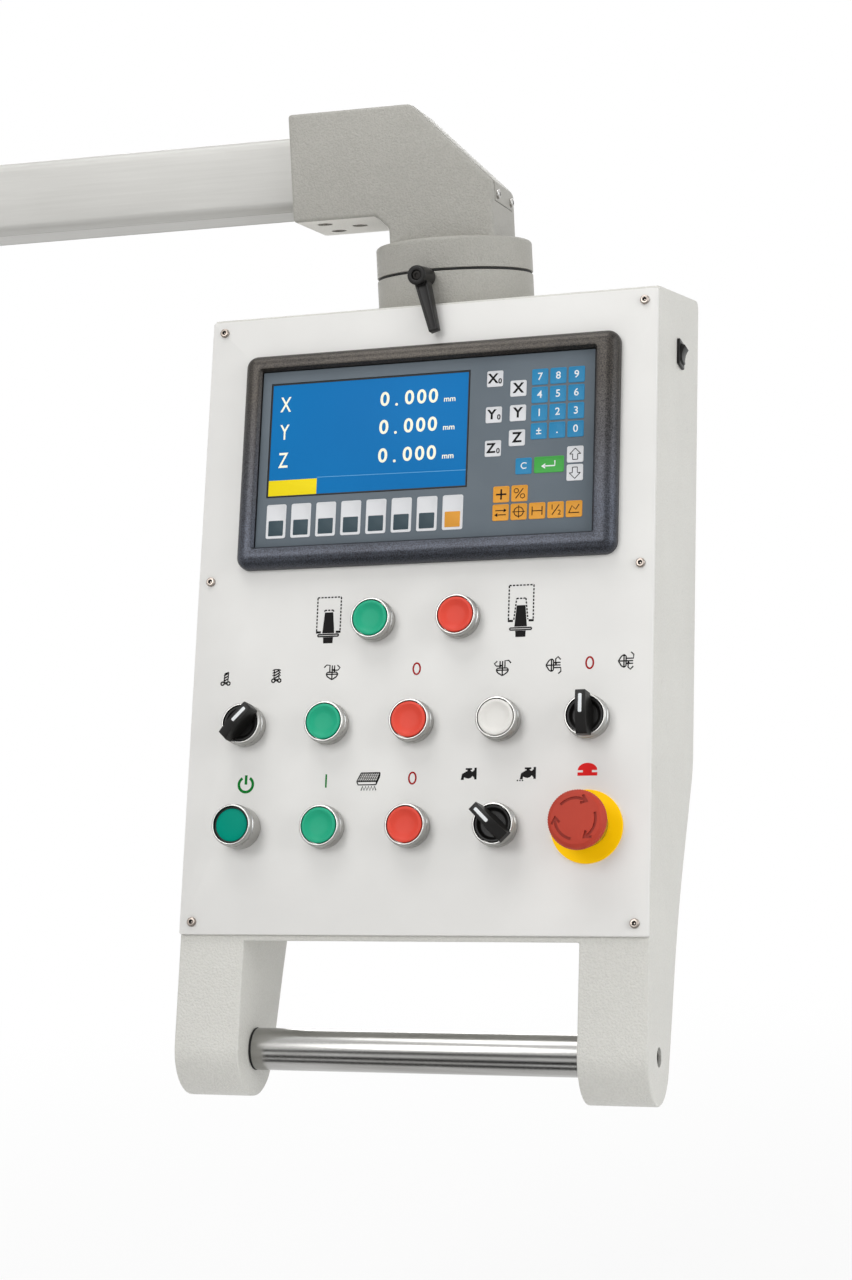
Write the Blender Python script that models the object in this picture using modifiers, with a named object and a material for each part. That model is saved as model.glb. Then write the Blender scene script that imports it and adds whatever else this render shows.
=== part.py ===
# Control pendant of a machine tool, hung from a swing arm, with a digital readout.
# Lengths are metres. The origin is the middle of the arm's sawn end. +X runs along the arm
# to the swivel, the panel faces -Y and +Z is up.
import math

import bmesh
import bpy
from mathutils import Matrix

MM = 0.001
GAP = 0.3 * MM
SMALL = 16
ROUND = 18
FINE = 32

# Arm: a two-chamber extrusion
ARM_LENGTH = 400 * MM
ARM_HEIGHT = 52 * MM
ARM_DEPTH = 62 * MM
ARM_EDGE = 7 * MM
ARM_WALL = 4 * MM
ARM_WEB = 6 * MM
ARM_GROOVE = 1.5 * MM
ARM_IN_ELBOW = 62 * MM

# Elbow casting, measured from the swivel axis and the split between its two rings
ELBOW_REACH = 107 * MM
ELBOW_CROWN = 13.9 * MM
ELBOW_SOLE = 10.2 * MM
ELBOW_CHEEK = 10 * MM
NECK_CHAMFER = 9 * MM
SLOPE_START = -18.5 * MM
SLOPE_END = 60.8 * MM
ELBOW_WALL = 7.5 * MM
ELBOW_EDGE = 1.8 * MM
ARM_ABOVE_SPLIT = 78.4 * MM
COVER_HALF_WIDTH = 30 * MM
COVER_SHEET = 1.5 * MM
COVER_PROUD = 0.5 * MM
COVER_TAIL = 27 * MM
COVER_APRON = 13 * MM
ACCESS_HALF_WIDTH = 20 * MM
ACCESS_LENGTH = 56 * MM

# Swivel
SWIVEL_RADIUS = 55.8 * MM
FLANGE_HEIGHT = 22.5 * MM
FLANGE_EDGE = 2 * MM
SPLIT = 1.8 * MM
SEAL_INSET = 1 * MM
SEAL_WIDTH = 14 * MM
COLLAR_WALL = 8 * MM
COLLAR_WEB = 10 * MM
SPIGOT_RADIUS = 25 * MM
SPIGOT_WALL = 7 * MM
SPIGOT_FLANGE = 4 * MM
SPIGOT_HEAD_THICK = 5 * MM
SPIGOT_TAIL = 4 * MM
SPIGOT_SEAT = 16 * MM
HEAD_CLEARANCE = 1 * MM
NUT_WIDTH = 11 * MM
NUT_THICK = 8 * MM
REST_YAW = math.radians(-4.8)

# Clamping lever on the lower ring
CLAMP_ANGLE = math.radians(3.2)
CLAMP_DROP = 5.5 * MM
STUD_RADIUS = 3 * MM
STUD_SHOULDER = 1.5 * MM
STUD_HEAD_RADIUS = 3.2 * MM
STUD_HEAD_THICK = 1.4 * MM
STUD_NECK_RADIUS = 2 * MM
LEVER_STANDOFF = 2 * MM
LEVER_WALL = 2 * MM
LEVER_EDGE = 1 * MM
LEVER_HUB_LENGTH = 20 * MM
LEVER_SOCKET = 11 * MM
LEVER_WEB = 2.3 * MM
LEVER_LIFT = 4 * MM
LEVER_LENGTH = 36 * MM
LEVER_ROOT_RADIUS = 4.8 * MM
LEVER_TIP_RADIUS = 3.3 * MM
LEVER_SIDES = 8
LEVER_SWING = math.radians(16)
LEVER_FLARE = math.radians(12)

# Housing, measured down the panel and into the box from the panel's top front edge
TILT = math.radians(15.4)
PANEL_FRONT = 64 * MM
HOUSING_DROP = 24.3 * MM
HOUSING_WIDTH = 323.4 * MM
HOUSING_DEPTH = 129.3 * MM
HOUSING_WALL = 4 * MM
HOUSING_ROOF = 6 * MM
HOUSING_FLOOR = 6 * MM
HOUSING_EDGE = 1.2 * MM
BACK_TOP_RADIUS = 6 * MM
FLOOR_DOWN = 439.7 * MM
KNEE_ABOVE_FLOOR = 26.2 * MM
KNEE_RADIUS = 430 * MM
SLANT_RUN = 106.5 * MM
BACK_SLANT = 0.405
BEND_RADIUS = 66 * MM
LEG_TAPER = 0.205
LEG_WIDTH = 46.2 * MM
HANDLE_BELOW_FLOOR = 69.3 * MM
LIP = 12 * MM
LIP_LOW = 16 * MM

# Handle
HANDLE_RADIUS = 14 * MM
HANDLE_EDGE = 1 * MM
BOLT_HEAD_RADIUS = 5.8 * MM
BOLT_HEAD_HEIGHT = 7 * MM
BOLT_SINK = 9 * MM
BOLT_RADIUS = 4 * MM
BOLT_GRIP = 20 * MM

# Front panel
PANEL_THICK = 3 * MM
PANEL_INSET = 0.2 * MM
PANEL_TOP = 1.7 * MM
PANEL_ABOVE_FLOOR = 4 * MM
PANEL_CORNER = 1.5 * MM

# Digital readout
READOUT_LEFT = -132 * MM
READOUT_RIGHT = 137.2 * MM
READOUT_TOP = 32 * MM
READOUT_BOTTOM = 185.5 * MM
READOUT_CORNER = 10 * MM
READOUT_PROUD = 11 * MM
READOUT_ROUND = 5.5 * MM
FRAME_LEFT = 13.5 * MM
FRAME_RIGHT = 16 * MM
FRAME_TOP = 12 * MM
FRAME_BOTTOM = 14.5 * MM
FRAME_REVEAL = 2 * MM
KEYPAD_SINK = 4.5 * MM
KEYPAD_THICK = 1.2 * MM
SCREEN_LEFT = -111.5 * MM
SCREEN_RIGHT = 33.3 * MM
SCREEN_TOP = 53.1 * MM
SCREEN_BOTTOM = 135.3 * MM
SCREEN_THICK = 0.8 * MM
CASE_DEPTH = 52 * MM
CASE_EDGE = 1.5 * MM

# Devices on the panel: a grid measured from the panel's middle and top
PITCH = 60 * MM
ROW_PITCH = 70 * MM
FIRST_ROW = 224.5 * MM
DEVICE_WALL = 1.9 * MM
DEVICE_HEIGHT = 12 * MM
DEVICE_EDGE = 0.9 * MM
BORE_RADIUS = 12.6 * MM
BORE_FLOOR = 4 * MM
BARREL_RADIUS = 10.9 * MM
BARREL_BORE = 8.5 * MM
BARREL_END = 12 * MM
RING_NUT_RADIUS = 14 * MM
BLOCK_WIDTH = 30 * MM
BLOCK_TALL = 40 * MM
BLOCK_DEEP = 36 * MM
BLOCK_EDGE = 2 * MM
PLUNGER_RADIUS = 6 * MM
PLUNGER_END = 6 * MM
CAP_SKIRT = 0.8 * MM
CAP_TRAVEL = 4 * MM
CAP_RISE = 0.8 * MM
CAP_DISH = 1.2 * MM
CAP_RIM = 1.7 * MM
CAP_RAMP = 3.2 * MM
CAP_EDGE = 1 * MM
LENS_CROWN = 0.4 * MM
LAMP_HEIGHT = 19 * MM
KNOB_BAR_HEIGHT = 13 * MM
KNOB_BAR_LENGTH = 29 * MM
KNOB_BAR_FOOT = 9.2 * MM
KNOB_BAR_TOP = 6.8 * MM
KNOB_BAR_CORNER = 3.2 * MM

# Emergency stop
STOP_PLATE_RADIUS = 24 * MM
STOP_PLATE_THICK = 1.2 * MM
STOP_COLLAR_TOP = 10 * MM
STOP_HEAD_RADIUS = 19.4 * MM
STOP_HEAD_TOP = 30 * MM
STOP_HEAD_DEEP = 14 * MM
STOP_FACE_RADIUS = 15.2 * MM
STOP_FACE_DROP = 0.4 * MM
STOP_BROW_RADIUS = 18.2 * MM
STOP_BROW_DROP = 1.6 * MM
STOP_RIM_DROP = 4.2 * MM
STOP_RIM_THICK = 2 * MM
STOP_THROAT_RADIUS = 12.8 * MM
STOP_STEM_RADIUS = 8 * MM
STOP_STEM_CLEARANCE = 0.5 * MM
STOP_SOCKET = 8 * MM

# Rocker switch on the right wall
ROCKER_DOWN = 26.2 * MM
ROCKER_IN = 66.5 * MM
ROCKER_TALL = 18.4 * MM
ROCKER_WIDE = 16 * MM
ROCKER_FLANGE = 1.8 * MM
ROCKER_BODY = 16 * MM
ROCKER_BORDER = 1.6 * MM
ROCKER_POCKET = 7 * MM
ROCKER_TILT = math.radians(12)
ROCKER_PEAK = 4.6 * MM
ROCKER_DIP = 2.3 * MM
ROCKER_NOSE = 0.5 * MM
ROCKER_BELLY = 3.5 * MM
ROCKER_BELLY_HALF = 3 * MM
ROCKER_PIVOT = 2.1 * MM

# Values that follow from the sizes above
SWIVEL_X = ARM_LENGTH + ELBOW_REACH - ARM_IN_ELBOW
ELBOW_TOP = ARM_ABOVE_SPLIT + ARM_HEIGHT / 2 + ELBOW_CROWN
ELBOW_BELLY = ARM_ABOVE_SPLIT - ARM_HEIGHT / 2 - ELBOW_SOLE
ELBOW_HALF_DEPTH = ARM_DEPTH / 2 + ELBOW_CHEEK
SPIGOT_HEAD = SPIGOT_RADIUS + SPIGOT_FLANGE
SPIGOT_BORE = SPIGOT_RADIUS - SPIGOT_WALL
NECK_ROOM = SPIGOT_HEAD + HEAD_CLEARANCE
NECK_HALF = NECK_ROOM + ELBOW_WALL
STUD_CORE_RADIUS = STUD_RADIUS + STUD_SHOULDER
LEVER_HUB_RADIUS = STUD_CORE_RADIUS + GAP + LEVER_WALL
FRONT_DEPTH = PANEL_THICK + GAP
WALL_FRONT = FRONT_DEPTH + HOUSING_WALL
HALF_WIDTH = HOUSING_WIDTH / 2
LEG_INNER = HALF_WIDTH - LEG_WIDTH
SLOPE_OF_LEVEL = math.tan(TILT)
HANDLE_DOWN = FLOOR_DOWN + HANDLE_BELOW_FLOOR
KNEE_DOWN = FLOOR_DOWN - KNEE_ABOVE_FLOOR
BEND_DOWN = KNEE_DOWN - SLANT_RUN
BEND = (BEND_DOWN, HOUSING_DEPTH)
KNEE = (KNEE_DOWN, HOUSING_DEPTH - BACK_SLANT * (KNEE_DOWN - BEND_DOWN))
LEG_BACK_AT_HANDLE = KNEE[1] - LEG_TAPER * (HANDLE_DOWN - KNEE_DOWN)
LEG_COSINE = 1 / math.hypot(1, LEG_TAPER)
LEG_END_RADIUS = (LEG_BACK_AT_HANDLE - FRONT_DEPTH) * LEG_COSINE / (1 + LEG_COSINE)
HANDLE_IN = FRONT_DEPTH + LEG_END_RADIUS
HOUSING_TOP = -HOUSING_DROP
COLLAR_TOP = SPLIT / -2 - GAP
FLANGE_BOTTOM = SPLIT / 2 - GAP
PANEL_WIDTH = HOUSING_WIDTH - 2 * PANEL_INSET
PANEL_BOTTOM = FLOOR_DOWN - PANEL_ABOVE_FLOOR
KEYPAD_FACE = READOUT_PROUD - KEYPAD_SINK
DEVICE_RADIUS = BORE_RADIUS + DEVICE_WALL

BUTTONS = {
    "row1_green": (-0.5, 0, "cap_green"),
    "row1_red": (0.5, 0, "cap_red"),
    "row2_green": (-1, 1, "cap_green"),
    "row2_red": (0, 1, "cap_red"),
    "row2_white": (1, 1, "cap_white"),
    "row3_lamp": (-2, 2, "lens_teal"),
    "row3_green": (-1, 2, "cap_green"),
    "row3_red": (0, 2, "cap_red"),
}
SELECTORS = {
    "left": (-2, 1, math.radians(-45)),
    "right": (2, 1, 0.0),
    "lower": (1, 2, math.radians(45)),
}
STOP_PLACE = (2, 2)

# Finish: colour, roughness, metallic
FINISHES = {
    "arm_aluminium": ((0.62, 0.62, 0.60), 0.38, 0.9),
    "casting_paint": ((0.40, 0.39, 0.36), 0.55, 0.0),
    "housing_paint": ((0.62, 0.61, 0.58), 0.5, 0.0),
    "panel_white": ((0.80, 0.79, 0.77), 0.45, 0.0),
    "steel": ((0.55, 0.55, 0.55), 0.35, 1.0),
    "chrome": ((0.75, 0.75, 0.76), 0.1, 1.0),
    "rubber_black": ((0.02, 0.02, 0.02), 0.7, 0.0),
    "plastic_black": ((0.025, 0.025, 0.027), 0.42, 0.0),
    "readout_frame": ((0.07, 0.065, 0.06), 0.4, 0.5),
    "readout_sheet": ((0.13, 0.17, 0.20), 0.4, 0.0),
    "screen_blue": ((0.01, 0.16, 0.45), 0.15, 0.0),
    "cap_green": ((0.0, 0.38, 0.20), 0.35, 0.0),
    "cap_red": ((0.72, 0.07, 0.05), 0.35, 0.0),
    "cap_white": ((0.85, 0.85, 0.83), 0.35, 0.0),
    "lens_teal": ((0.0, 0.32, 0.24), 0.15, 0.0),
    "stop_red": ((0.50, 0.06, 0.035), 0.4, 0.0),
    "stop_yellow": ((0.95, 0.56, 0.0), 0.45, 0.0),
}


def clear_scene():
    for item in list(bpy.data.objects):
        bpy.data.objects.remove(item, do_unlink=True)


def collection(name):
    made = bpy.data.collections.new(name)
    bpy.context.scene.collection.children.link(made)
    return made


def finish(name):
    known = bpy.data.materials.get(name)
    if known:
        return known
    colour, roughness, metallic = FINISHES[name]
    made = bpy.data.materials.new(name)
    made.use_nodes = True
    shader = made.node_tree.nodes["Principled BSDF"]
    shader.inputs["Base Color"].default_value = (*colour, 1.0)
    shader.inputs["Roughness"].default_value = roughness
    shader.inputs["Metallic"].default_value = metallic
    made.diffuse_color = (*colour, 1.0)
    return made


def empty(name, parent=None, location=(0, 0, 0), rotation=(0, 0, 0)):
    made = bpy.data.objects.new(name, None)
    made.parent = parent
    made.location = location
    made.rotation_euler = rotation
    made.empty_display_size = 30 * MM
    PARTS.objects.link(made)
    return made


def part(name, mesh, look, parent=None, location=(0, 0, 0), rotation=(0, 0, 0)):
    made = bpy.data.objects.new(name, mesh)
    made.parent = parent
    made.location = location
    made.rotation_euler = rotation
    mesh.materials.append(finish(look))
    PARTS.objects.link(made)
    return made


def cutter(name, mesh, parent=None, location=(0, 0, 0), rotation=(0, 0, 0)):
    made = bpy.data.objects.new(name, mesh)
    made.parent = parent
    made.location = location
    made.rotation_euler = rotation
    made.hide_render = True
    made.display_type = "WIRE"
    CUTTERS.objects.link(made)
    return made


def combine(target, tool, operation="DIFFERENCE"):
    step = target.modifiers.new(tool.name, "BOOLEAN")
    step.operation = operation
    step.solver = "EXACT"
    step.object = tool


def soften(target, width, segments=2, angle=50):
    step = target.modifiers.new("edges", "BEVEL")
    step.width = width
    step.segments = segments
    step.limit_method = "ANGLE"
    step.angle_limit = math.radians(angle)


def circle(middle, radius, count=ROUND):
    turns = [2 * math.pi * step / count for step in range(count)]
    return [(middle[0] + radius * math.cos(turn), middle[1] + radius * math.sin(turn)) for turn in turns]


def rectangle(left, bottom, right, top):
    return [(left, bottom), (right, bottom), (right, top), (left, top)]


def filleted(corners, radii, steps=4):
    # Rounds each corner of a closed outline with an arc that touches both of its sides.
    outline = []
    for index, corner in enumerate(corners):
        before = corners[index - 1]
        after = corners[(index + 1) % len(corners)]
        radius = radii[index]
        if not radius:
            outline.append(corner)
            continue
        back = math.atan2(before[1] - corner[1], before[0] - corner[0])
        ahead = math.atan2(after[1] - corner[1], after[0] - corner[0])
        turn = (ahead - back + math.pi) % (2 * math.pi) - math.pi
        reach = radius / math.tan(abs(turn) / 2)
        middle_angle = back + turn / 2
        away = radius / math.sin(abs(turn) / 2)
        middle = (corner[0] + away * math.cos(middle_angle), corner[1] + away * math.sin(middle_angle))
        first = (corner[0] + reach * math.cos(back), corner[1] + reach * math.sin(back))
        start = math.atan2(first[1] - middle[1], first[0] - middle[0])
        sweep = math.copysign(math.pi - abs(turn), -turn)
        for step in range(steps + 1):
            angle = start + sweep * step / steps
            outline.append((middle[0] + radius * math.cos(angle), middle[1] + radius * math.sin(angle)))
    return outline


def moved_line(start, end, distance):
    along = math.hypot(end[0] - start[0], end[1] - start[1])
    normal = ((end[1] - start[1]) / along, (start[0] - end[0]) / along)
    shift = (normal[0] * distance, normal[1] * distance)
    return (start[0] + shift[0], start[1] + shift[1]), (end[0] + shift[0], end[1] + shift[1])


def crossing(first, second):
    (ax, ay), (bx, by) = first
    (cx, cy), (dx, dy) = second
    run = (bx - ax, by - ay)
    other = (dx - cx, dy - cy)
    scale = run[0] * other[1] - run[1] * other[0]
    share = ((cx - ax) * other[1] - (cy - ay) * other[0]) / scale
    return (ax + share * run[0], ay + share * run[1])


def inset(corners, distances):
    # Moves each side of a closed outline sideways by its own distance and meets them again.
    count = len(corners)
    sides = [moved_line(corners[i], corners[(i + 1) % count], distances[i]) for i in range(count)]
    return [crossing(sides[i - 1], sides[i]) for i in range(count)]


def welded(mesh):
    shape = bmesh.new()
    shape.from_mesh(mesh)
    bmesh.ops.remove_doubles(shape, verts=shape.verts, dist=0.002 * MM)
    bmesh.ops.recalc_face_normals(shape, faces=shape.faces)
    shape.to_mesh(mesh)
    shape.free()
    return mesh


def extruded(name, outlines, low, high, turn=None):
    # A flat outline with its holes, drawn in X and Y and drawn out along Z.
    flat = bpy.data.curves.new(name, "CURVE")
    flat.dimensions = "2D"
    flat.fill_mode = "BOTH"
    flat.extrude = (high - low) / 2
    for outline in outlines:
        line = flat.splines.new("POLY")
        line.points.add(len(outline) - 1)
        for point, (x, y) in zip(line.points, outline):
            point.co = (x, y, 0, 1)
        line.use_cyclic_u = True
    holder = bpy.data.objects.new(name, flat)
    bpy.context.scene.collection.objects.link(holder)
    graph = bpy.context.evaluated_depsgraph_get()
    mesh = bpy.data.meshes.new_from_object(holder.evaluated_get(graph))
    bpy.data.objects.remove(holder, do_unlink=True)
    bpy.data.curves.remove(flat)
    mesh.name = name
    mesh.transform(Matrix.Translation((0, 0, (high + low) / 2)))
    if turn:
        mesh.transform(turn)
    welded(mesh)
    mesh.shade_smooth()
    mesh.set_sharp_from_angle(angle=math.radians(35))
    return mesh


def profile_mesh(name, profile, closed):
    # A profile at +X, listed down its outer side, for the Screw step that spins it about Z.
    mesh = bpy.data.meshes.new(name)
    edges = [(i, i + 1) for i in range(len(profile) - 1)]
    if closed:
        edges.append((len(profile) - 1, 0))
    mesh.from_pydata([(radius, 0, height) for radius, height in profile], edges, [])
    return mesh


def spin(target, count=ROUND):
    step = target.modifiers.new("spin", "SCREW")
    step.axis = "Z"
    step.angle = 2 * math.pi
    step.steps = count
    step.render_steps = count
    step.use_merge_vertices = True
    step.merge_threshold = 0.002 * MM
    step.use_smooth_shade = True
    return target


def box(name, low, high):
    shape = bmesh.new()
    bmesh.ops.create_cube(shape, size=1)
    size = [b - a for a, b in zip(low, high)]
    middle = [(a + b) / 2 for a, b in zip(low, high)]
    bmesh.ops.scale(shape, vec=size, verts=shape.verts)
    bmesh.ops.translate(shape, vec=middle, verts=shape.verts)
    mesh = bpy.data.meshes.new(name)
    shape.to_mesh(mesh)
    shape.free()
    return mesh


def rounded_rim(mesh, width, segments, chosen):
    # Rounds the edges that the test picks, before any cut is made.
    shape = bmesh.new()
    shape.from_mesh(mesh)
    edges = [edge for edge in shape.edges if edge.calc_length() and all(chosen(v.co) for v in edge.verts)]
    edges = [edge for edge in edges if edge.calc_face_angle(0) > 0.6]
    bmesh.ops.bevel(
        shape,
        geom=edges,
        offset=width,
        segments=segments,
        profile=0.5,
        affect="EDGES",
        clamp_overlap=True,
    )
    shape.to_mesh(mesh)
    shape.free()
    mesh.shade_smooth()
    mesh.set_sharp_from_angle(angle=math.radians(35))
    return mesh


STAND_UP = Matrix.Rotation(math.radians(90), 4, "X")
LIE_ALONG_X = Matrix.Rotation(math.radians(90), 4, "Z") @ STAND_UP
SIDE_ON = Matrix.Rotation(math.radians(-90), 4, "Y")


def in_side_view(points):
    # Points given as (down the panel, into the box) become the side view's X and Y.
    return [(-inwards, -down) for down, inwards in points]


def build_arm():
    half_depth = ARM_DEPTH / 2
    half_height = ARM_HEIGHT / 2
    groove_at = half_depth - ARM_EDGE - ARM_GROOVE
    corners = [(-half_depth, -half_height)]
    for middle in (-groove_at, groove_at):
        corners.append((middle - ARM_GROOVE, -half_height))
        corners.append((middle, ARM_GROOVE - half_height))
        corners.append((middle + ARM_GROOVE, -half_height))
    corners += [(half_depth, -half_height), (half_depth, half_height), (-half_depth, half_height)]
    radii = [ARM_EDGE] + [0] * 6 + [ARM_EDGE] * 3
    outlines = [filleted(corners, radii)]
    chamber_half = half_depth - ARM_WALL
    for low, high in ((ARM_WEB / 2, half_height - ARM_WALL), (ARM_WALL - half_height, -ARM_WEB / 2)):
        chamber = rectangle(-chamber_half, low, chamber_half, high)
        outlines.append(filleted(chamber, [ARM_EDGE - ARM_WALL] * 4, 2))
    part("arm_profile", extruded("arm_profile", outlines, 0, ARM_LENGTH, LIE_ALONG_X), "arm_aluminium")


def shifted_path(path, distance):
    sides = [moved_line(path[i], path[i + 1], distance) for i in range(len(path) - 1)]
    middle = [crossing(sides[i], sides[i + 1]) for i in range(len(sides) - 1)]
    return [sides[0][0]] + middle + [sides[-1][1]]


def band(path, inside, outside):
    return shifted_path(path, inside) + shifted_path(path, -outside)[::-1]


def elbow_cavity():
    slope = ((NECK_HALF, SLOPE_END), (SLOPE_START, ELBOW_TOP))
    under_slope = moved_line(*slope, -ELBOW_WALL)
    left = ARM_IN_ELBOW - ELBOW_REACH - ELBOW_WALL
    top = ARM_ABOVE_SPLIT + ARM_HEIGHT / 2 - ARM_WALL
    low = ARM_ABOVE_SPLIT - ARM_HEIGHT / 2 + ARM_WALL
    return [
        (left, low),
        (-NECK_ROOM, low),
        (-NECK_ROOM, SPIGOT_SEAT),
        (NECK_ROOM, SPIGOT_SEAT),
        crossing(under_slope, ((NECK_ROOM, 0), (NECK_ROOM, 1))),
        crossing(under_slope, ((0, top), (1, top))),
        (left, top),
    ]


def build_elbow():
    outline = [
        (-ELBOW_REACH, ELBOW_BELLY),
        (-NECK_HALF - NECK_CHAMFER, ELBOW_BELLY),
        (-NECK_HALF, ELBOW_BELLY - NECK_CHAMFER),
        (-NECK_HALF, FLANGE_HEIGHT / 2),
        (NECK_HALF, FLANGE_HEIGHT / 2),
        (NECK_HALF, SLOPE_END),
        (SLOPE_START, ELBOW_TOP),
        (-ELBOW_REACH, ELBOW_TOP),
    ]
    half = ELBOW_HALF_DEPTH
    body = extruded("elbow_casting", [outline], -half, half, STAND_UP)
    casting = part("elbow_casting", body, "casting_paint", SWIVEL)
    soften(casting, ELBOW_EDGE)
    mid_arc = FLANGE_EDGE * (1 - math.cos(math.pi / 4))
    flange_profile = [
        (0, FLANGE_HEIGHT),
        (SWIVEL_RADIUS - FLANGE_EDGE, FLANGE_HEIGHT),
        (SWIVEL_RADIUS - mid_arc, FLANGE_HEIGHT - mid_arc),
        (SWIVEL_RADIUS, FLANGE_HEIGHT - FLANGE_EDGE),
        (SWIVEL_RADIUS, FLANGE_BOTTOM),
        (0, FLANGE_BOTTOM),
    ]
    flange = cutter("elbow_flange", profile_mesh("elbow_flange", flange_profile, False), SWIVEL)
    combine(casting, spin(flange, FINE), "UNION")
    cavity = extruded("elbow_cavity", [elbow_cavity()], -NECK_ROOM, NECK_ROOM, STAND_UP)
    combine(casting, cutter("elbow_cavity", cavity, SWIVEL))
    half_depth = ARM_DEPTH / 2 + GAP
    half_height = ARM_HEIGHT / 2 + GAP
    mouth = filleted(rectangle(-half_depth, -half_height, half_depth, half_height), [ARM_EDGE] * 4)
    pocket = extruded("arm_pocket", [mouth], -ARM_IN_ELBOW, ARM_IN_ELBOW + GAP, LIE_ALONG_X)
    combine(casting, cutter("arm_pocket", pocket, SWIVEL, (-ELBOW_REACH, 0, ARM_ABOVE_SPLIT)))
    bore_profile = [
        (0, SPIGOT_SEAT + ELBOW_WALL),
        (SPIGOT_RADIUS + GAP, SPIGOT_SEAT + ELBOW_WALL),
        (SPIGOT_RADIUS + GAP, -FLANGE_HEIGHT),
        (0, -FLANGE_HEIGHT),
    ]
    bore = cutter("elbow_bore", profile_mesh("elbow_bore", bore_profile, False), SWIVEL)
    combine(casting, spin(bore, FINE))
    path = [
        (SLOPE_START - COVER_TAIL, ELBOW_TOP),
        (SLOPE_START, ELBOW_TOP),
        (NECK_HALF, SLOPE_END),
        (NECK_HALF, SLOPE_END - COVER_APRON),
    ]
    sunk = COVER_SHEET - COVER_PROUD
    longer = [(path[0][0] - GAP, path[0][1])] + path[1:3] + [(path[3][0], path[3][1] - GAP)]
    seat = band(longer, sunk + GAP, ELBOW_WALL)
    seat_half = COVER_HALF_WIDTH + GAP
    recess = extruded("cover_seat", [seat], -seat_half, seat_half, STAND_UP)
    combine(casting, cutter("cover_seat", recess, SWIVEL))
    fall = math.atan2(ELBOW_TOP - SLOPE_END, NECK_HALF - SLOPE_START)
    reach = ACCESS_LENGTH / 2
    window = box(
        "access_window",
        (-reach, -ACCESS_HALF_WIDTH, -2 * ELBOW_WALL),
        (reach, ACCESS_HALF_WIDTH, 2 * ELBOW_WALL),
    )
    middle = ((NECK_HALF + SLOPE_START) / 2, 0, (ELBOW_TOP + SLOPE_END) / 2)
    combine(casting, cutter("access_window", window, SWIVEL, middle, (0, fall, 0)))
    bent = band(path, sunk, COVER_PROUD)
    sheet = extruded("elbow_cover", [bent], -COVER_HALF_WIDTH, COVER_HALF_WIDTH, STAND_UP)
    part("elbow_cover", sheet, "casting_paint", SWIVEL)


def ring(inner, outer, low, high):
    return [(inner, high), (outer, high), (outer, low), (inner, low)]


def build_swivel():
    spigot_end = HOUSING_TOP - HOUSING_ROOF - GAP - NUT_THICK - SPIGOT_TAIL
    spigot_profile = [
        (SPIGOT_BORE, SPIGOT_SEAT + GAP + SPIGOT_HEAD_THICK),
        (SPIGOT_HEAD, SPIGOT_SEAT + GAP + SPIGOT_HEAD_THICK),
        (SPIGOT_HEAD, SPIGOT_SEAT + GAP),
        (SPIGOT_RADIUS, SPIGOT_SEAT + GAP),
        (SPIGOT_RADIUS, spigot_end),
        (SPIGOT_BORE, spigot_end),
    ]
    spin(part("swivel_spigot", profile_mesh("swivel_spigot", spigot_profile, True), "steel", SWIVEL), FINE)
    nut_top = HOUSING_TOP - HOUSING_ROOF - GAP
    nut_profile = ring(SPIGOT_RADIUS + GAP, SPIGOT_RADIUS + NUT_WIDTH, nut_top - NUT_THICK, nut_top)
    spin(part("swivel_nut", profile_mesh("swivel_nut", nut_profile, True), "steel", SWIVEL), FINE)
    seal_outer = SWIVEL_RADIUS - SEAL_INSET
    seal_profile = ring(seal_outer - SEAL_WIDTH, seal_outer, COLLAR_TOP + GAP, FLANGE_BOTTOM - GAP)
    spin(part("swivel_seal", profile_mesh("swivel_seal", seal_profile, True), "rubber_black", SWIVEL), FINE)
    collar_foot = HOUSING_TOP + GAP
    hub = SPIGOT_RADIUS + COLLAR_WALL
    collar_profile = [
        (SPIGOT_RADIUS + GAP, COLLAR_TOP),
        (SWIVEL_RADIUS, COLLAR_TOP),
        (SWIVEL_RADIUS, collar_foot),
        (SWIVEL_RADIUS - COLLAR_WALL, collar_foot),
        (SWIVEL_RADIUS - COLLAR_WALL, COLLAR_TOP - COLLAR_WEB),
        (hub, COLLAR_TOP - COLLAR_WEB),
        (hub, collar_foot),
        (SPIGOT_RADIUS + GAP, collar_foot),
    ]
    body = profile_mesh("swivel_collar", collar_profile, True)
    collar = spin(part("swivel_collar", body, "casting_paint", PENDANT), FINE)
    hole_radius = STUD_RADIUS + GAP
    outside = SWIVEL_RADIUS + LEVER_STANDOFF
    hole_profile = [(0, outside), (hole_radius, outside), (hole_radius, 0), (0, 0)]
    hole = cutter("stud_hole", profile_mesh("stud_hole", hole_profile, False), CLAMP)
    combine(collar, spin(hole, SMALL))


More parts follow.
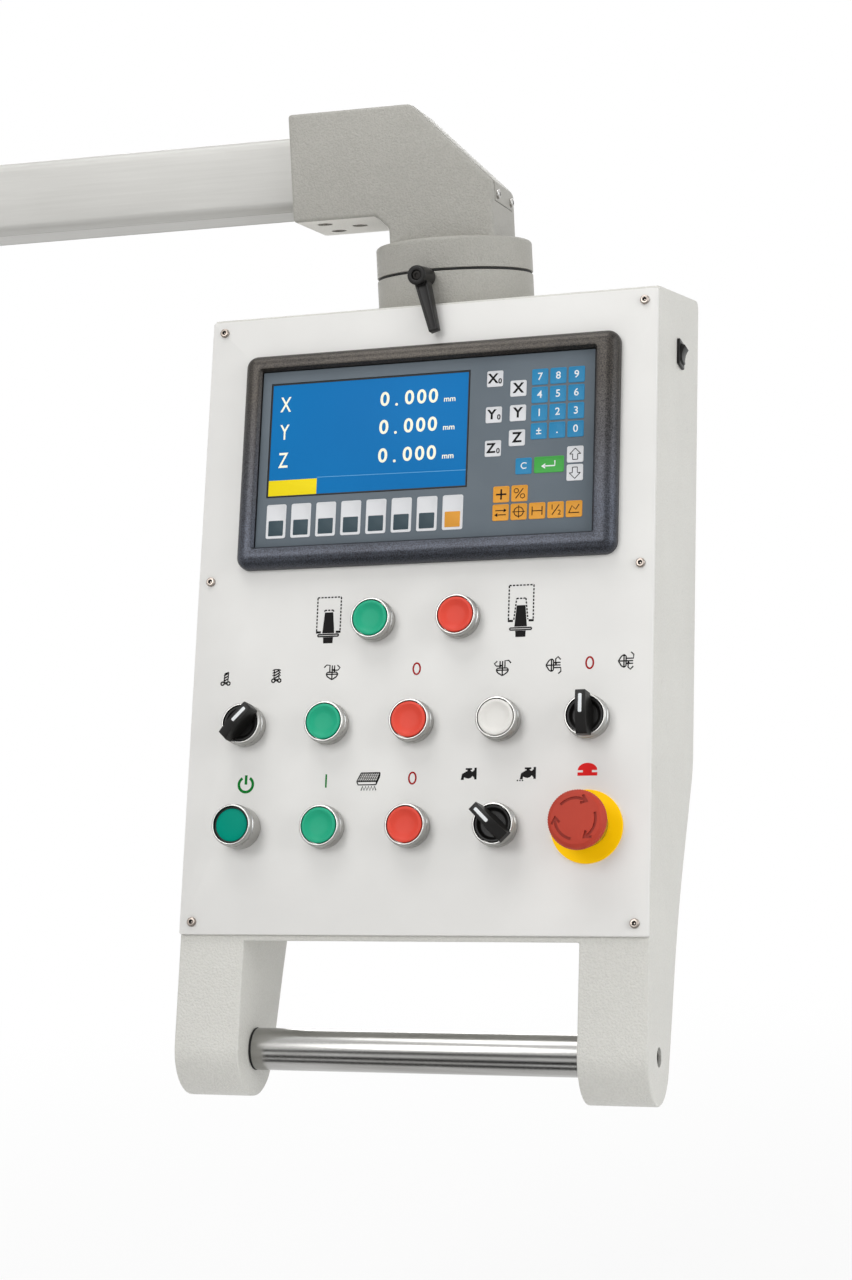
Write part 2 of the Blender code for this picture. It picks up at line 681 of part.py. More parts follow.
def build_clamp():
    # Heights here run outwards along the stud from the swivel axis.
    foot = SWIVEL_RADIUS + LEVER_STANDOFF
    top = foot + LEVER_HUB_LENGTH
    socket_end = foot + LEVER_SOCKET
    web_end = socket_end + LEVER_WEB
    head_low = web_end + LEVER_LIFT + GAP
    stud_profile = [
        (0, head_low + STUD_HEAD_THICK),
        (STUD_HEAD_RADIUS, head_low + STUD_HEAD_THICK),
        (STUD_HEAD_RADIUS, head_low),
        (STUD_NECK_RADIUS, head_low),
        (STUD_NECK_RADIUS, socket_end - GAP),
        (STUD_CORE_RADIUS, socket_end - GAP),
        (STUD_CORE_RADIUS, SWIVEL_RADIUS + GAP),
        (STUD_RADIUS, SWIVEL_RADIUS + GAP),
        (STUD_RADIUS, SPIGOT_RADIUS + GAP),
        (0, SPIGOT_RADIUS + GAP),
    ]
    spin(part("clamp_stud", profile_mesh("clamp_stud", stud_profile, False), "steel", CLAMP), SMALL)
    recess = STUD_HEAD_RADIUS + GAP
    neck = STUD_NECK_RADIUS + GAP
    hub_profile = [
        (recess, top),
        (LEVER_HUB_RADIUS - LEVER_EDGE, top),
        (LEVER_HUB_RADIUS, top - LEVER_EDGE),
        (LEVER_HUB_RADIUS, foot),
        (STUD_CORE_RADIUS + GAP, foot),
        (STUD_CORE_RADIUS + GAP, socket_end),
        (neck, socket_end),
        (neck, web_end),
        (recess, web_end),
    ]
    hub = profile_mesh("clamp_lever", hub_profile, True)
    lever = spin(part("clamp_lever", hub, "plastic_black", CLAMP), SMALL)
    shape = bmesh.new()
    bmesh.ops.create_cone(
        shape,
        cap_ends=True,
        segments=LEVER_SIDES,
        radius1=LEVER_ROOT_RADIUS,
        radius2=LEVER_TIP_RADIUS,
        depth=LEVER_LENGTH,
    )
    bar = bpy.data.meshes.new("lever_bar")
    shape.to_mesh(bar)
    shape.free()
    start = (STUD_CORE_RADIUS + GAP + LEVER_HUB_RADIUS) / 2
    aim = Matrix.Rotation(LEVER_SWING, 4, "Z") @ Matrix.Rotation(math.pi / 2 - LEVER_FLARE, 4, "X")
    middle = Matrix.Translation((0, 0, foot + LEVER_HUB_LENGTH / 2))
    bar.transform(middle @ aim @ Matrix.Translation((0, 0, start + LEVER_LENGTH / 2)))
    combine(lever, cutter("lever_bar", bar, CLAMP), "UNION")


def leg_end(steps=10):
    first = math.atan2(1, LEG_TAPER)
    last = -math.pi / 2
    turns = [first + (last - first) * step / steps for step in range(steps + 1)]
    radius = LEG_END_RADIUS
    return [(HANDLE_DOWN + radius * math.cos(turn), HANDLE_IN + radius * math.sin(turn)) for turn in turns]


def level(inwards, down=0.0, start=0.0):
    # The height down the panel of a level plane, at a depth into the box.
    return down - (inwards - start) * SLOPE_OF_LEVEL


def build_housing():
    front_top = (level(FRONT_DEPTH), FRONT_DEPTH)
    back_top = (level(HOUSING_DEPTH), HOUSING_DEPTH)
    end = leg_end()
    corners = [front_top, back_top, BEND, KNEE] + end
    radii = [0, BACK_TOP_RADIUS, BEND_RADIUS, KNEE_RADIUS] + [0] * len(end)
    outline = in_side_view(filleted(corners, radii))
    block = extruded("housing", [outline], -HALF_WIDTH, HALF_WIDTH, SIDE_ON)
    shell = part("housing", block, "housing_paint", PANEL)
    far = 2 * HOUSING_DEPTH
    gap_corners = [
        (level(-far, FLOOR_DOWN, FRONT_DEPTH), -far),
        (level(far, FLOOR_DOWN, FRONT_DEPTH), far),
        (HANDLE_DOWN + far, far),
        (HANDLE_DOWN + far, -far),
    ]
    hand_gap = extruded("hand_gap", [in_side_view(gap_corners)], -LEG_INNER, LEG_INNER, SIDE_ON)
    combine(shell, cutter("hand_gap", hand_gap, PANEL))
    soften(shell, HOUSING_EDGE)
    floor_front = (FLOOR_DOWN, FRONT_DEPTH)
    walls = [HOUSING_ROOF, HOUSING_WALL, HOUSING_WALL, HOUSING_FLOOR, HOUSING_WALL]
    inner = inset([front_top, back_top, BEND, KNEE, floor_front], walls)
    inner_radii = [0, BACK_TOP_RADIUS - HOUSING_WALL, BEND_RADIUS - HOUSING_WALL, 0, 0]
    inner_half = HALF_WIDTH - HOUSING_WALL
    room_outline = in_side_view(filleted(inner, inner_radii))
    room = extruded("housing_room", [room_outline], -inner_half, inner_half, SIDE_ON)
    combine(shell, cutter("housing_room", room, PANEL))
    side = HALF_WIDTH - LIP
    mouth = filleted(rectangle(-side, LIP_LOW - FLOOR_DOWN, side, -LIP - PANEL_TOP), [LIP / 2] * 4, 2)
    opening = extruded("housing_mouth", [mouth], -WALL_FRONT - HOUSING_WALL / 2, WALL_FRONT)
    combine(shell, cutter("housing_mouth", opening, PANEL))
    throat_radius = SPIGOT_RADIUS + 2 * GAP
    throat_low = HOUSING_TOP - 2 * HOUSING_ROOF
    throat_profile = [
        (0, HOUSING_TOP + HOUSING_ROOF),
        (throat_radius, HOUSING_TOP + HOUSING_ROOF),
        (throat_radius, throat_low),
        (0, throat_low),
    ]
    throat = cutter("housing_throat", profile_mesh("housing_throat", throat_profile, False), PENDANT)
    combine(shell, spin(throat, FINE))
    tall = ROCKER_TALL / 2 - ROCKER_BORDER + GAP
    wide = ROCKER_WIDE / 2 - ROCKER_BORDER + GAP
    slot = box("rocker_hole", (-3 * HOUSING_WALL, -tall, -wide), (3 * HOUSING_WALL, tall, wide))
    combine(shell, cutter("rocker_hole", slot, SWITCH))
    sink_radius = BOLT_HEAD_RADIUS + 2 * GAP
    hole_radius = BOLT_RADIUS + GAP
    hole_profile = [
        (0, BOLT_SINK),
        (sink_radius, BOLT_SINK),
        (sink_radius, -BOLT_SINK),
        (hole_radius, -BOLT_SINK),
        (hole_radius, -2 * LEG_WIDTH),
        (0, -2 * LEG_WIDTH),
    ]
    for side_name, sign in (("left", -1), ("right", 1)):
        name = "bolt_hole_" + side_name
        hole = cutter(name, profile_mesh(name, hole_profile, False), *on_leg(sign))
        combine(shell, spin(hole, SMALL))


def on_leg(sign):
    # Where a handle bolt goes in: the bolt's own Z points out of the leg.
    place = (sign * HALF_WIDTH, -HANDLE_DOWN, -HANDLE_IN)
    return PANEL, place, (0, sign * math.pi / 2, 0)


def build_handle():
    half = LEG_INNER - GAP
    bore = BOLT_RADIUS + GAP
    deep = BOLT_GRIP + GAP
    upper = [
        (0, half - deep),
        (bore, half - deep),
        (bore, half),
        (HANDLE_RADIUS - HANDLE_EDGE, half),
        (HANDLE_RADIUS, half - HANDLE_EDGE),
    ]
    lower = [(radius, -height) for radius, height in reversed(upper)]
    bar = part(
        "handle_bar",
        profile_mesh("handle_bar", upper + lower, False),
        "chrome",
        PANEL,
        (0, -HANDLE_DOWN, -HANDLE_IN),
        (0, math.pi / 2, 0),
    )
    spin(bar, ROUND)
    head_low = GAP - BOLT_SINK
    bolt_profile = [
        (0, head_low + BOLT_HEAD_HEIGHT),
        (BOLT_HEAD_RADIUS, head_low + BOLT_HEAD_HEIGHT),
        (BOLT_HEAD_RADIUS, head_low),
        (BOLT_RADIUS, head_low),
        (BOLT_RADIUS, -LEG_WIDTH - BOLT_GRIP),
        (0, -LEG_WIDTH - BOLT_GRIP),
    ]
    for side_name, sign in (("left", -1), ("right", 1)):
        name = "handle_bolt_" + side_name
        parent, place, turn = on_leg(sign)
        spin(part(name, profile_mesh(name, bolt_profile, False), "steel", parent, place, turn), SMALL)


def device_place(column, row):
    return (column * PITCH, -FIRST_ROW - row * ROW_PITCH, 0)


def window_box(margin=0.0):
    # The opening of the readout's frame, as left, bottom, right and top, drawn in by a margin.
    return (
        READOUT_LEFT + FRAME_LEFT + margin,
        -READOUT_BOTTOM + FRAME_BOTTOM + margin,
        READOUT_RIGHT - FRAME_RIGHT - margin,
        -READOUT_TOP - FRAME_TOP - margin,
    )


def build_panel():
    half = PANEL_WIDTH / 2
    sheet = rectangle(-half, -PANEL_BOTTOM, half, -PANEL_TOP)
    outlines = [filleted(sheet, [PANEL_CORNER] * 4, 2), rectangle(*window_box(FRAME_REVEAL - GAP))]
    places = [spot[:2] for spot in BUTTONS.values()]
    places += [spot[:2] for spot in SELECTORS.values()]
    places.append(STOP_PLACE)
    for column, row in places:
        x, y, _ = device_place(column, row)
        outlines.append(circle((x, y), BARREL_RADIUS + GAP))
    part("front_panel", extruded("front_panel", outlines, -PANEL_THICK, 0), "panel_white", PANEL)


def build_readout():
    outer = filleted(
        rectangle(READOUT_LEFT, -READOUT_BOTTOM, READOUT_RIGHT, -READOUT_TOP),
        [READOUT_CORNER] * 4,
        5,
    )
    window = window_box()
    frame = extruded("readout_frame", [outer, rectangle(*window)], GAP, READOUT_PROUD)

    def on_front(point):
        return point.z > READOUT_PROUD - 0.01 * MM

    def near_window(point):
        slack = FRAME_REVEAL * 2
        across = window[0] - slack < point.x < window[2] + slack
        return on_front(point) and across and window[1] - slack < point.y < window[3] + slack

    rounded_rim(frame, READOUT_ROUND, 4, lambda point: on_front(point) and not near_window(point))
    rounded_rim(frame, FRAME_REVEAL, 1, near_window)
    part("readout_frame", frame, "readout_frame", PANEL)
    screen = (SCREEN_LEFT, -SCREEN_BOTTOM, SCREEN_RIGHT, -SCREEN_TOP)
    hole = rectangle(screen[0] - GAP, screen[1] - GAP, screen[2] + GAP, screen[3] + GAP)
    back = KEYPAD_FACE - KEYPAD_THICK
    sheet = extruded("readout_keypad", [rectangle(*window_box(GAP)), hole], back, KEYPAD_FACE)
    part("readout_keypad", sheet, "readout_sheet", PANEL)
    glass = box("readout_screen", (screen[0], screen[1], back), (screen[2], screen[3], back + SCREEN_THICK))
    part("readout_screen", glass, "screen_blue", PANEL)
    left, low, right, high = window_box(FRAME_REVEAL)
    case = part(
        "readout_case",
        box("readout_case", (left, low, -CASE_DEPTH), (right, high, back - GAP)),
        "plastic_black",
        PANEL,
    )
    soften(case, CASE_EDGE, 1)


def device_profile(height, foot, bore):
    # The outer side: front ring, barrel through the panel, and the ring nut that grips it behind.
    nut_top = -PANEL_THICK - GAP
    return [
        (DEVICE_RADIUS - DEVICE_EDGE, height),
        (DEVICE_RADIUS, height - DEVICE_EDGE),
        (DEVICE_RADIUS, foot),
        (BARREL_RADIUS, foot),
        (BARREL_RADIUS, nut_top),
        (RING_NUT_RADIUS, nut_top),
        (RING_NUT_RADIUS, -BARREL_END),
        (bore, -BARREL_END),
    ]


def bezel(name, place, height):
    profile = device_profile(height, GAP, BARREL_BORE)
    profile += [(BARREL_BORE, BORE_FLOOR), (BORE_RADIUS, BORE_FLOOR), (BORE_RADIUS, height)]
    spin(part(name, profile_mesh(name, profile, True), "chrome", PANEL, place))


def contact_block(name, place):
    low = -BARREL_END - GAP - BLOCK_DEEP
    high = -BARREL_END - GAP
    mesh = box(name, (-BLOCK_WIDTH / 2, -BLOCK_TALL / 2, low), (BLOCK_WIDTH / 2, BLOCK_TALL / 2, high))
    soften(part(name, mesh, "plastic_black", PANEL, place), BLOCK_EDGE, 1)


def build_buttons():
    for name, (column, row, look) in BUTTONS.items():
        place = device_place(column, row)
        lamp = look == "lens_teal"
        height = LAMP_HEIGHT if lamp else DEVICE_HEIGHT
        bezel("bezel_" + name, place, height)
        contact_block("block_" + name, place)
        radius = BORE_RADIUS - GAP
        top = height + CAP_RISE
        dish = CAP_DISH
        if lamp:
            top = height - CAP_RISE
            dish = -LENS_CROWN
        cap_profile = [
            (0, top - dish),
            (radius - CAP_RIM - CAP_RAMP, top - dish),
            (radius - CAP_RIM, top),
            (radius, top - CAP_EDGE),
            (radius, BORE_FLOOR + CAP_SKIRT + CAP_TRAVEL),
            (PLUNGER_RADIUS, BORE_FLOOR + CAP_SKIRT + CAP_TRAVEL),
            (PLUNGER_RADIUS, -PLUNGER_END),
            (0, -PLUNGER_END),
        ]
        cap_name = "cap_" + name
        spin(part(cap_name, profile_mesh(cap_name, cap_profile, False), look, PANEL, place))


def build_selectors():
    for name, (column, row, pointing) in SELECTORS.items():
        place = device_place(column, row)
        bezel("bezel_selector_" + name, place, DEVICE_HEIGHT)
        contact_block("block_selector_" + name, place)
        radius = BORE_RADIUS - GAP
        top = DEVICE_HEIGHT + CAP_RISE
        disc_profile = [
            (0, top),
            (radius - CAP_RISE, top),
            (radius, top - CAP_RISE),
            (radius, BORE_FLOOR + GAP),
            (PLUNGER_RADIUS, BORE_FLOOR + GAP),
            (PLUNGER_RADIUS, -PLUNGER_END),
            (0, -PLUNGER_END),
        ]
        knob_name = "knob_selector_" + name
        mesh = profile_mesh(knob_name, disc_profile, False)
        knob = spin(part(knob_name, mesh, "plastic_black", PANEL, place, (0, 0, pointing)))
        half = KNOB_BAR_LENGTH / 2
        foot = KNOB_BAR_FOOT / 2
        grip = filleted(rectangle(-foot, -half, foot, half), [KNOB_BAR_CORNER] * 4, 2)
        bar = extruded("grip_" + name, [grip], top - CAP_RISE, DEVICE_HEIGHT + KNOB_BAR_HEIGHT)
        narrow = KNOB_BAR_TOP / KNOB_BAR_FOOT
        for vertex in bar.vertices:
            if vertex.co.z > top:
                vertex.co.x *= narrow
        combine(knob, cutter("grip_" + name, bar, PANEL, place, (0, 0, pointing)), "UNION")


def build_stop():
    place = device_place(*STOP_PLACE)
    plate_profile = ring(BARREL_RADIUS + GAP, STOP_PLATE_RADIUS, GAP, GAP + STOP_PLATE_THICK)
    plate = profile_mesh("stop_plate", plate_profile, True)
    spin(part("stop_plate", plate, "stop_yellow", PANEL, place), FINE)
    bore = STOP_STEM_RADIUS + GAP
    foot = STOP_PLATE_THICK + 2 * GAP
    sleeve = STOP_STEM_RADIUS + STOP_STEM_CLEARANCE
    collar_profile = device_profile(STOP_COLLAR_TOP, foot, sleeve)
    collar_profile.append((sleeve, STOP_COLLAR_TOP))
    spin(part("stop_collar", profile_mesh("stop_collar", collar_profile, True), "chrome", PANEL, place))
    contact_block("stop_block", place)
    under = STOP_HEAD_TOP - STOP_HEAD_DEEP
    stem_top = under + STOP_SOCKET - GAP
    stem_radius = STOP_STEM_RADIUS
    stem_profile = [(0, stem_top), (stem_radius, stem_top), (stem_radius, -PLUNGER_END), (0, -PLUNGER_END)]
    spin(part("stop_stem", profile_mesh("stop_stem", stem_profile, False), "steel", PANEL, place), SMALL)
    top = STOP_HEAD_TOP
    head_profile = [
        (0, top),
        (STOP_FACE_RADIUS, top - STOP_FACE_DROP),
        (STOP_BROW_RADIUS, top - STOP_BROW_DROP),
        (STOP_HEAD_RADIUS, top - STOP_RIM_DROP),
        (STOP_HEAD_RADIUS, top - STOP_RIM_DROP - STOP_RIM_THICK),
        (STOP_THROAT_RADIUS, under),
        (bore, under),
        (bore, under + STOP_SOCKET),
        (0, under + STOP_SOCKET),
    ]
    spin(part("stop_head", profile_mesh("stop_head", head_profile, False), "stop_red", PANEL, place), FINE)


def build_rocker():
    tall = ROCKER_TALL / 2
    wide = ROCKER_WIDE / 2
    face = GAP + ROCKER_FLANGE
    flange = box("rocker_frame", (GAP, -tall, -wide), (face, tall, wide))
    frame = part("rocker_frame", flange, "plastic_black", SWITCH)
    inner_tall = tall - ROCKER_BORDER
    inner_wide = wide - ROCKER_BORDER
    body = box("rocker_body", (-ROCKER_BODY, -inner_tall, -inner_wide), (face / 2, inner_tall, inner_wide))
    combine(frame, cutter("rocker_body", body, SWITCH), "UNION")
    well_tall = inner_tall - ROCKER_BORDER / 2
    well_wide = inner_wide - ROCKER_BORDER / 2
    well_floor = face - ROCKER_POCKET
    well = box("rocker_well", (well_floor, -well_tall, -well_wide), (3 * face, well_tall, well_wide))
    combine(frame, cutter("rocker_well", well, SWITCH))
    end = well_tall - 2 * GAP
    half = well_wide - GAP
    nose = end - ROCKER_NOSE
    outline = [
        (ROCKER_PEAK, nose),
        (ROCKER_DIP, 0),
        (ROCKER_PEAK, -nose),
        (0, -end),
        (-ROCKER_BELLY, -ROCKER_BELLY_HALF),
        (-ROCKER_BELLY, ROCKER_BELLY_HALF),
        (0, end),
    ]
    pivot = (face - ROCKER_PIVOT, 0, 0)
    paddle = extruded("rocker_paddle", [outline], -half, half)
    part("rocker_paddle", paddle, "plastic_black", SWITCH, pivot, (0, 0, -ROCKER_TILT))


clear_scene()
PARTS = collection("control_pendant")
CUTTERS = collection("cutters")

# Frames: the swivel on the arm, the pendant that turns on it, the leaning panel and two seats
SWIVEL = empty("swivel_axis", None, (SWIVEL_X, 0, -ARM_ABOVE_SPLIT))
PENDANT = empty("pendant_frame", SWIVEL, (0, 0, 0), (0, 0, REST_YAW))
PANEL = empty("panel_frame", PENDANT, (0, -PANEL_FRONT, -HOUSING_DROP), (math.pi / 2 - TILT, 0, 0))
CLAMP = empty("clamp_axis", PENDANT, (0, 0, -CLAMP_DROP), (math.pi / 2, 0, -CLAMP_ANGLE))
SWITCH = empty("rocker_seat", PANEL, (HALF_WIDTH, -ROCKER_DOWN, -ROCKER_IN))

build_arm()
build_elbow()
build_swivel()
build_clamp()
build_housing()
build_handle()
build_panel()
build_readout()
build_buttons()
build_selectors()
build_stop()
build_rocker()
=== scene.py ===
import math

import bmesh
import bpy
from mathutils import Matrix, Vector


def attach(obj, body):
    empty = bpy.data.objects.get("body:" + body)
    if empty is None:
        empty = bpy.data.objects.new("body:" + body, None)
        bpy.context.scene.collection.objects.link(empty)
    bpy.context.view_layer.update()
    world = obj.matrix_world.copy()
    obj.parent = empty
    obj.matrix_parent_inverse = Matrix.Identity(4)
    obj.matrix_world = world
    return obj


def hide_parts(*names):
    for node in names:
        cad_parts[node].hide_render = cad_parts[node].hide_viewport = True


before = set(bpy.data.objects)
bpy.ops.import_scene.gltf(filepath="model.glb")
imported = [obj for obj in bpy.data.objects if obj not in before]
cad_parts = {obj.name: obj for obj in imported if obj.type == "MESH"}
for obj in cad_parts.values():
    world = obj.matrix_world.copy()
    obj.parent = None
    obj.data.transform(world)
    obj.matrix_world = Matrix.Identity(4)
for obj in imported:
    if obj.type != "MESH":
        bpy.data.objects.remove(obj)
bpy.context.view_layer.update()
print("frame:", len(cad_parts), "nodes")

# Pieces are modelled in millimetres, each in its own seat, and shrunk to metres when they are placed
mm = 0.001
hang = {"axis": (0.445, 0, -0.0784), "yaw": -4.8, "panelOut": 64, "panelDrop": 24.3, "lean": 15.4,
        "clampDrop": 5.5, "clampTurn": -3.2}


def turn(degrees, axis):
    return Matrix.Rotation(math.radians(degrees), 4, axis)


def shift(x, y, z):
    return Matrix.Translation((x, y, z))


armAt = Matrix.Scale(mm, 4)
swivelAt = Matrix.Translation(hang["axis"]) @ armAt
pendantAt = swivelAt @ turn(hang["yaw"], "Z")
panelAt = pendantAt @ shift(0, -hang["panelOut"], -hang["panelDrop"]) @ turn(90 - hang["lean"], "X")
clampAt = pendantAt @ shift(0, 0, -hang["clampDrop"]) @ turn(hang["clampTurn"], "Z") @ turn(90, "X")
standUp = turn(90, "X")
alongX = turn(90, "Z") @ standUp
sideOn = turn(-90, "Y")
outward = turn(90, "Y")


def onPanel(across, down, out=0):
    return panelAt @ shift(across, -down, out)


def dotted(places, height=0):
    return [shift(x, y, height) for x, y in places]


# Camera: the photo's own place, aim and lens
shot = {"place": (0.80551, -1.65988, -0.27171), "turn": 13.39, "pitch": -2.22, "roll": -2.78,
        "lens": 66.27, "sensor": 36}
bpy.ops.object.select_all(action="DESELECT")
bpy.ops.object.camera_add()
camera = bpy.context.object
camera.name = "photoCamera"
camera.matrix_world = (Matrix.Translation(shot["place"]) @ turn(shot["turn"], "Z")
                       @ turn(90 + shot["pitch"], "X") @ turn(shot["roll"], "Z"))
camera.data.lens = shot["lens"]
camera.data.sensor_width = shot["sensor"]
bpy.context.scene.camera = camera
print("camera placed")

# Modelling by hand: small helpers around Blender's own operators
seamGap = 0.002
outlineGap = 0.0005
slack = 0.01
smoothUnder = math.radians(32)


def letGo():
    if bpy.context.object and bpy.context.object.mode == "EDIT":
        bpy.ops.object.mode_set(mode="OBJECT")
    bpy.ops.object.select_all(action="DESELECT")


def take(piece):
    letGo()
    bpy.context.view_layer.objects.active = piece
    piece.select_set(True)
    return piece


def settle():
    bpy.ops.object.transform_apply(location=True, rotation=True, scale=True)
    return bpy.context.object


def edit(piece):
    take(piece)
    bpy.ops.object.mode_set(mode="EDIT")


def done():
    bpy.ops.object.mode_set(mode="OBJECT")
    return bpy.context.object


def pick(kind, test):
    # picks what passes the test in the mesh being edited, and nothing else
    bpy.ops.mesh.select_mode(type=kind)
    bpy.ops.mesh.select_all(action="DESELECT")
    mesh = bpy.context.object.data
    shape = bmesh.from_edit_mesh(mesh)
    for item in {"VERT": shape.verts, "EDGE": shape.edges, "FACE": shape.faces}[kind]:
        if test(item):
            item.select_set(True)
    shape.select_flush_mode()
    bmesh.update_edit_mesh(mesh)


def pickAll():
    bpy.ops.mesh.select_all(action="SELECT")


def pull(x, y, z):
    bpy.ops.mesh.extrude_region_move(TRANSFORM_OT_translate={"value": (x, y, z)})


def faceOut():
    pickAll()
    bpy.ops.mesh.normals_make_consistent(inside=False)


def closeUp():
    bpy.ops.mesh.select_mode(type="VERT")
    pickAll()
    bpy.ops.mesh.remove_doubles(threshold=seamGap)
    bpy.ops.mesh.normals_make_consistent(inside=False)


def mended(piece):
    edit(piece)
    closeUp()
    return done()


def chain(points):
    # one vertex, drawn out from point to point
    letGo()
    bpy.ops.mesh.primitive_plane_add(size=1, enter_editmode=True)
    bpy.ops.mesh.select_mode(type="VERT")
    pickAll()
    bpy.ops.mesh.merge(type="CENTER")
    bpy.ops.transform.translate(value=points[0])
    for before, after in zip(points, points[1:]):
        pull(*(Vector(after) - Vector(before)))


def eased(corners, steps, closed=True):
    # an outline whose corners (x, y, radius) are rounded by arcs; without a radius they stay sharp
    outline = []
    count = len(corners)
    for index, (x, y, *rounding) in enumerate(corners):
        atEnd = not closed and index in (0, count - 1)
        if atEnd or not any(rounding):
            outline.append((x, y))
            continue
        radius = rounding[0]
        here = Vector((x, y))
        back = (Vector(corners[index - 1][:2]) - here).normalized()
        ahead = (Vector(corners[(index + 1) % count][:2]) - here).normalized()
        half = back.angle(ahead) / 2
        middle = here + (back + ahead).normalized() * radius / math.sin(half)
        start = here + back * radius / math.tan(half) - middle
        sweep = math.copysign(math.pi - 2 * half, -back.cross(ahead))
        for step in range(steps + 1):
            spoke = start.copy()
            spoke.rotate(Matrix.Rotation(sweep * step / steps, 2))
            outline.append(tuple(middle + spoke))
    return outline


def arc(radius, first, last, steps, middle=(0, 0)):
    turns = [math.radians(first + (last - first) * step / steps) for step in range(steps + 1)]
    return [(middle[0] + radius * math.cos(t), middle[1] + radius * math.sin(t)) for t in turns]


def spun(profile, steps):
    # a line of radius and height, spun about Z
    chain([(radius, 0, height) for radius, height in profile])
    pickAll()
    bpy.ops.mesh.spin(steps=steps, angle=2 * math.pi, center=(0, 0, 0), axis=(0, 0, 1))
    closeUp()
    return done()


def turned(steps, arcs, *corners):
    # steps of the turn and of each rounding, then corners from the axis and back to it
    return spun(eased(corners, arcs, False), steps)


def ringed(steps, arcs, *corners):
    profile = eased(corners, arcs)
    return spun(profile + profile[:1], steps)


def slab(outline, low, high):
    # a closed outline in X and Y, drawn out along Z
    chain([(x, y, low) for x, y in outline] + [(*outline[0], low)])
    pickAll()
    bpy.ops.mesh.remove_doubles(threshold=outlineGap)
    bpy.ops.mesh.edge_face_add()
    pull(0, 0, high - low)
    faceOut()
    return done()


def block(low, high):
    letGo()
    size = [b - a for a, b in zip(low, high)]
    middle = [(a + b) / 2 for a, b in zip(low, high)]
    bpy.ops.mesh.primitive_cube_add(size=1, location=middle, scale=size)
    return settle()


def blockOn(box, bottom, top):
    left, low, right, high = box
    return block((left, low, bottom), (right, high, top))


def rod(radius, low, high, sides=32):
    letGo()
    bpy.ops.mesh.primitive_cylinder_add(vertices=sides, radius=radius, depth=high - low,
                                        location=(0, 0, (low + high) / 2))
    return settle()


def roundedPlane(left, low, right, high, corner, height, rounds=5):
    # a flat face with round corners, left in edit mode; in edit mode it joins the mesh at hand
    joins = bpy.context.object and bpy.context.object.mode == "EDIT"
    middle = ((left + right) / 2, (low + high) / 2, height)
    bpy.ops.mesh.primitive_plane_add(size=1, location=middle)
    if not joins:
        settle()
        bpy.ops.object.mode_set(mode="EDIT")
        pickAll()
    bpy.ops.mesh.select_mode(type="VERT")
    bpy.ops.transform.resize(value=(right - left, high - low, 1), center_override=middle)
    bpy.ops.mesh.bevel(offset=corner, segments=rounds, affect="VERTICES")


def plate(left, low, right, high, corner, bottom, top, edge=0.0):
    # a round-cornered plate with its upper rim eased in two steps
    letGo()
    roundedPlane(left, low, right, high, corner, bottom)
    pull(0, 0, top - bottom - edge)
    if edge:
        for inShare, upShare in ((0.3, 0.7), (0.7, 0.3)):
            bpy.ops.mesh.inset(thickness=edge * inShare, depth=edge * upShare)
    faceOut()
    return done()


def place(piece, at):
    take(piece)
    piece.matrix_world = at @ piece.matrix_world
    return settle()


def cut(piece, tool, how="DIFFERENCE"):
    take(piece)
    step = piece.modifiers.new("cut", "BOOLEAN")
    step.operation = how
    step.solver = "EXACT"
    step.object = tool
    bpy.ops.object.modifier_apply(modifier=step.name)
    bpy.data.objects.remove(tool, do_unlink=True)
    return piece


def soften(piece, width, segments, angle):
    take(piece)
    step = piece.modifiers.new("edges", "BEVEL")
    step.width = width
    step.segments = segments
    step.limit_method = "ANGLE"
    step.angle_limit = math.radians(angle)
    bpy.ops.object.modifier_apply(modifier=step.name)
    return piece


def joined(pieces):
    letGo()
    for piece in pieces:
        piece.select_set(True)
    bpy.context.view_layer.objects.active = pieces[0]
    if len(pieces) > 1:
        bpy.ops.object.join()
    return bpy.context.object


def copyTo(piece, at):
    # a copy with its own mesh
    take(piece)
    bpy.ops.object.duplicate(linked=False)
    return place(bpy.context.object, at)


def spread(piece, places):
    # one model copied to every place, as a single piece
    copies = [copyTo(piece, at) for at in places]
    bpy.data.objects.remove(piece, do_unlink=True)
    return joined(copies)


looks = {}


def keep(piece, name, look, slot, *nodes, body="pendant"):
    # a finished piece gets its name, its finish, the body it rides on and the nodes it stands for
    take(piece)
    piece.name = name
    piece.data.name = name
    piece.data.materials.clear()
    piece.data.materials.append(looks[look])
    bpy.ops.object.shade_smooth_by_angle(angle=smoothUnder)
    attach(piece, body)
    if nodes:
        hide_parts(*nodes)


# Materials: a wire is a socket, and sums on it add Math nodes
class Wire:
    def __init__(self, tree, socket=None):
        self.tree = tree
        self.socket = socket

    def node(self, kind, settings, inputs, output=0):
        made = self.tree.nodes.new("ShaderNode" + kind)
        for key, value in settings.items():
            setattr(made, key, value)
        for key, value in inputs.items():
            if isinstance(value, Wire):
                self.tree.links.new(value.socket, made.inputs[key])
            else:
                made.inputs[key].default_value = value
        return Wire(self.tree, made.outputs[output])

    def sum(self, operation, first, second):
        return self.node("Math", {"operation": operation}, {0: first, 1: second})

    def __add__(self, other):
        return self.sum("ADD", self, other)

    def __radd__(self, other):
        return self.sum("ADD", other, self)

    def __mul__(self, other):
        return self.sum("MULTIPLY", self, other)

    def __rmul__(self, other):
        return self.sum("MULTIPLY", other, self)


def tone(colour):
    # a screen colour, 0 to 255, as the linear colour that the shader takes
    shares = [value / 255 for value in colour]
    linear = [share / 12.92 if share <= 0.04045 else ((share + 0.055) / 1.055) ** 2.4 for share in shares]
    return (*linear, 1)


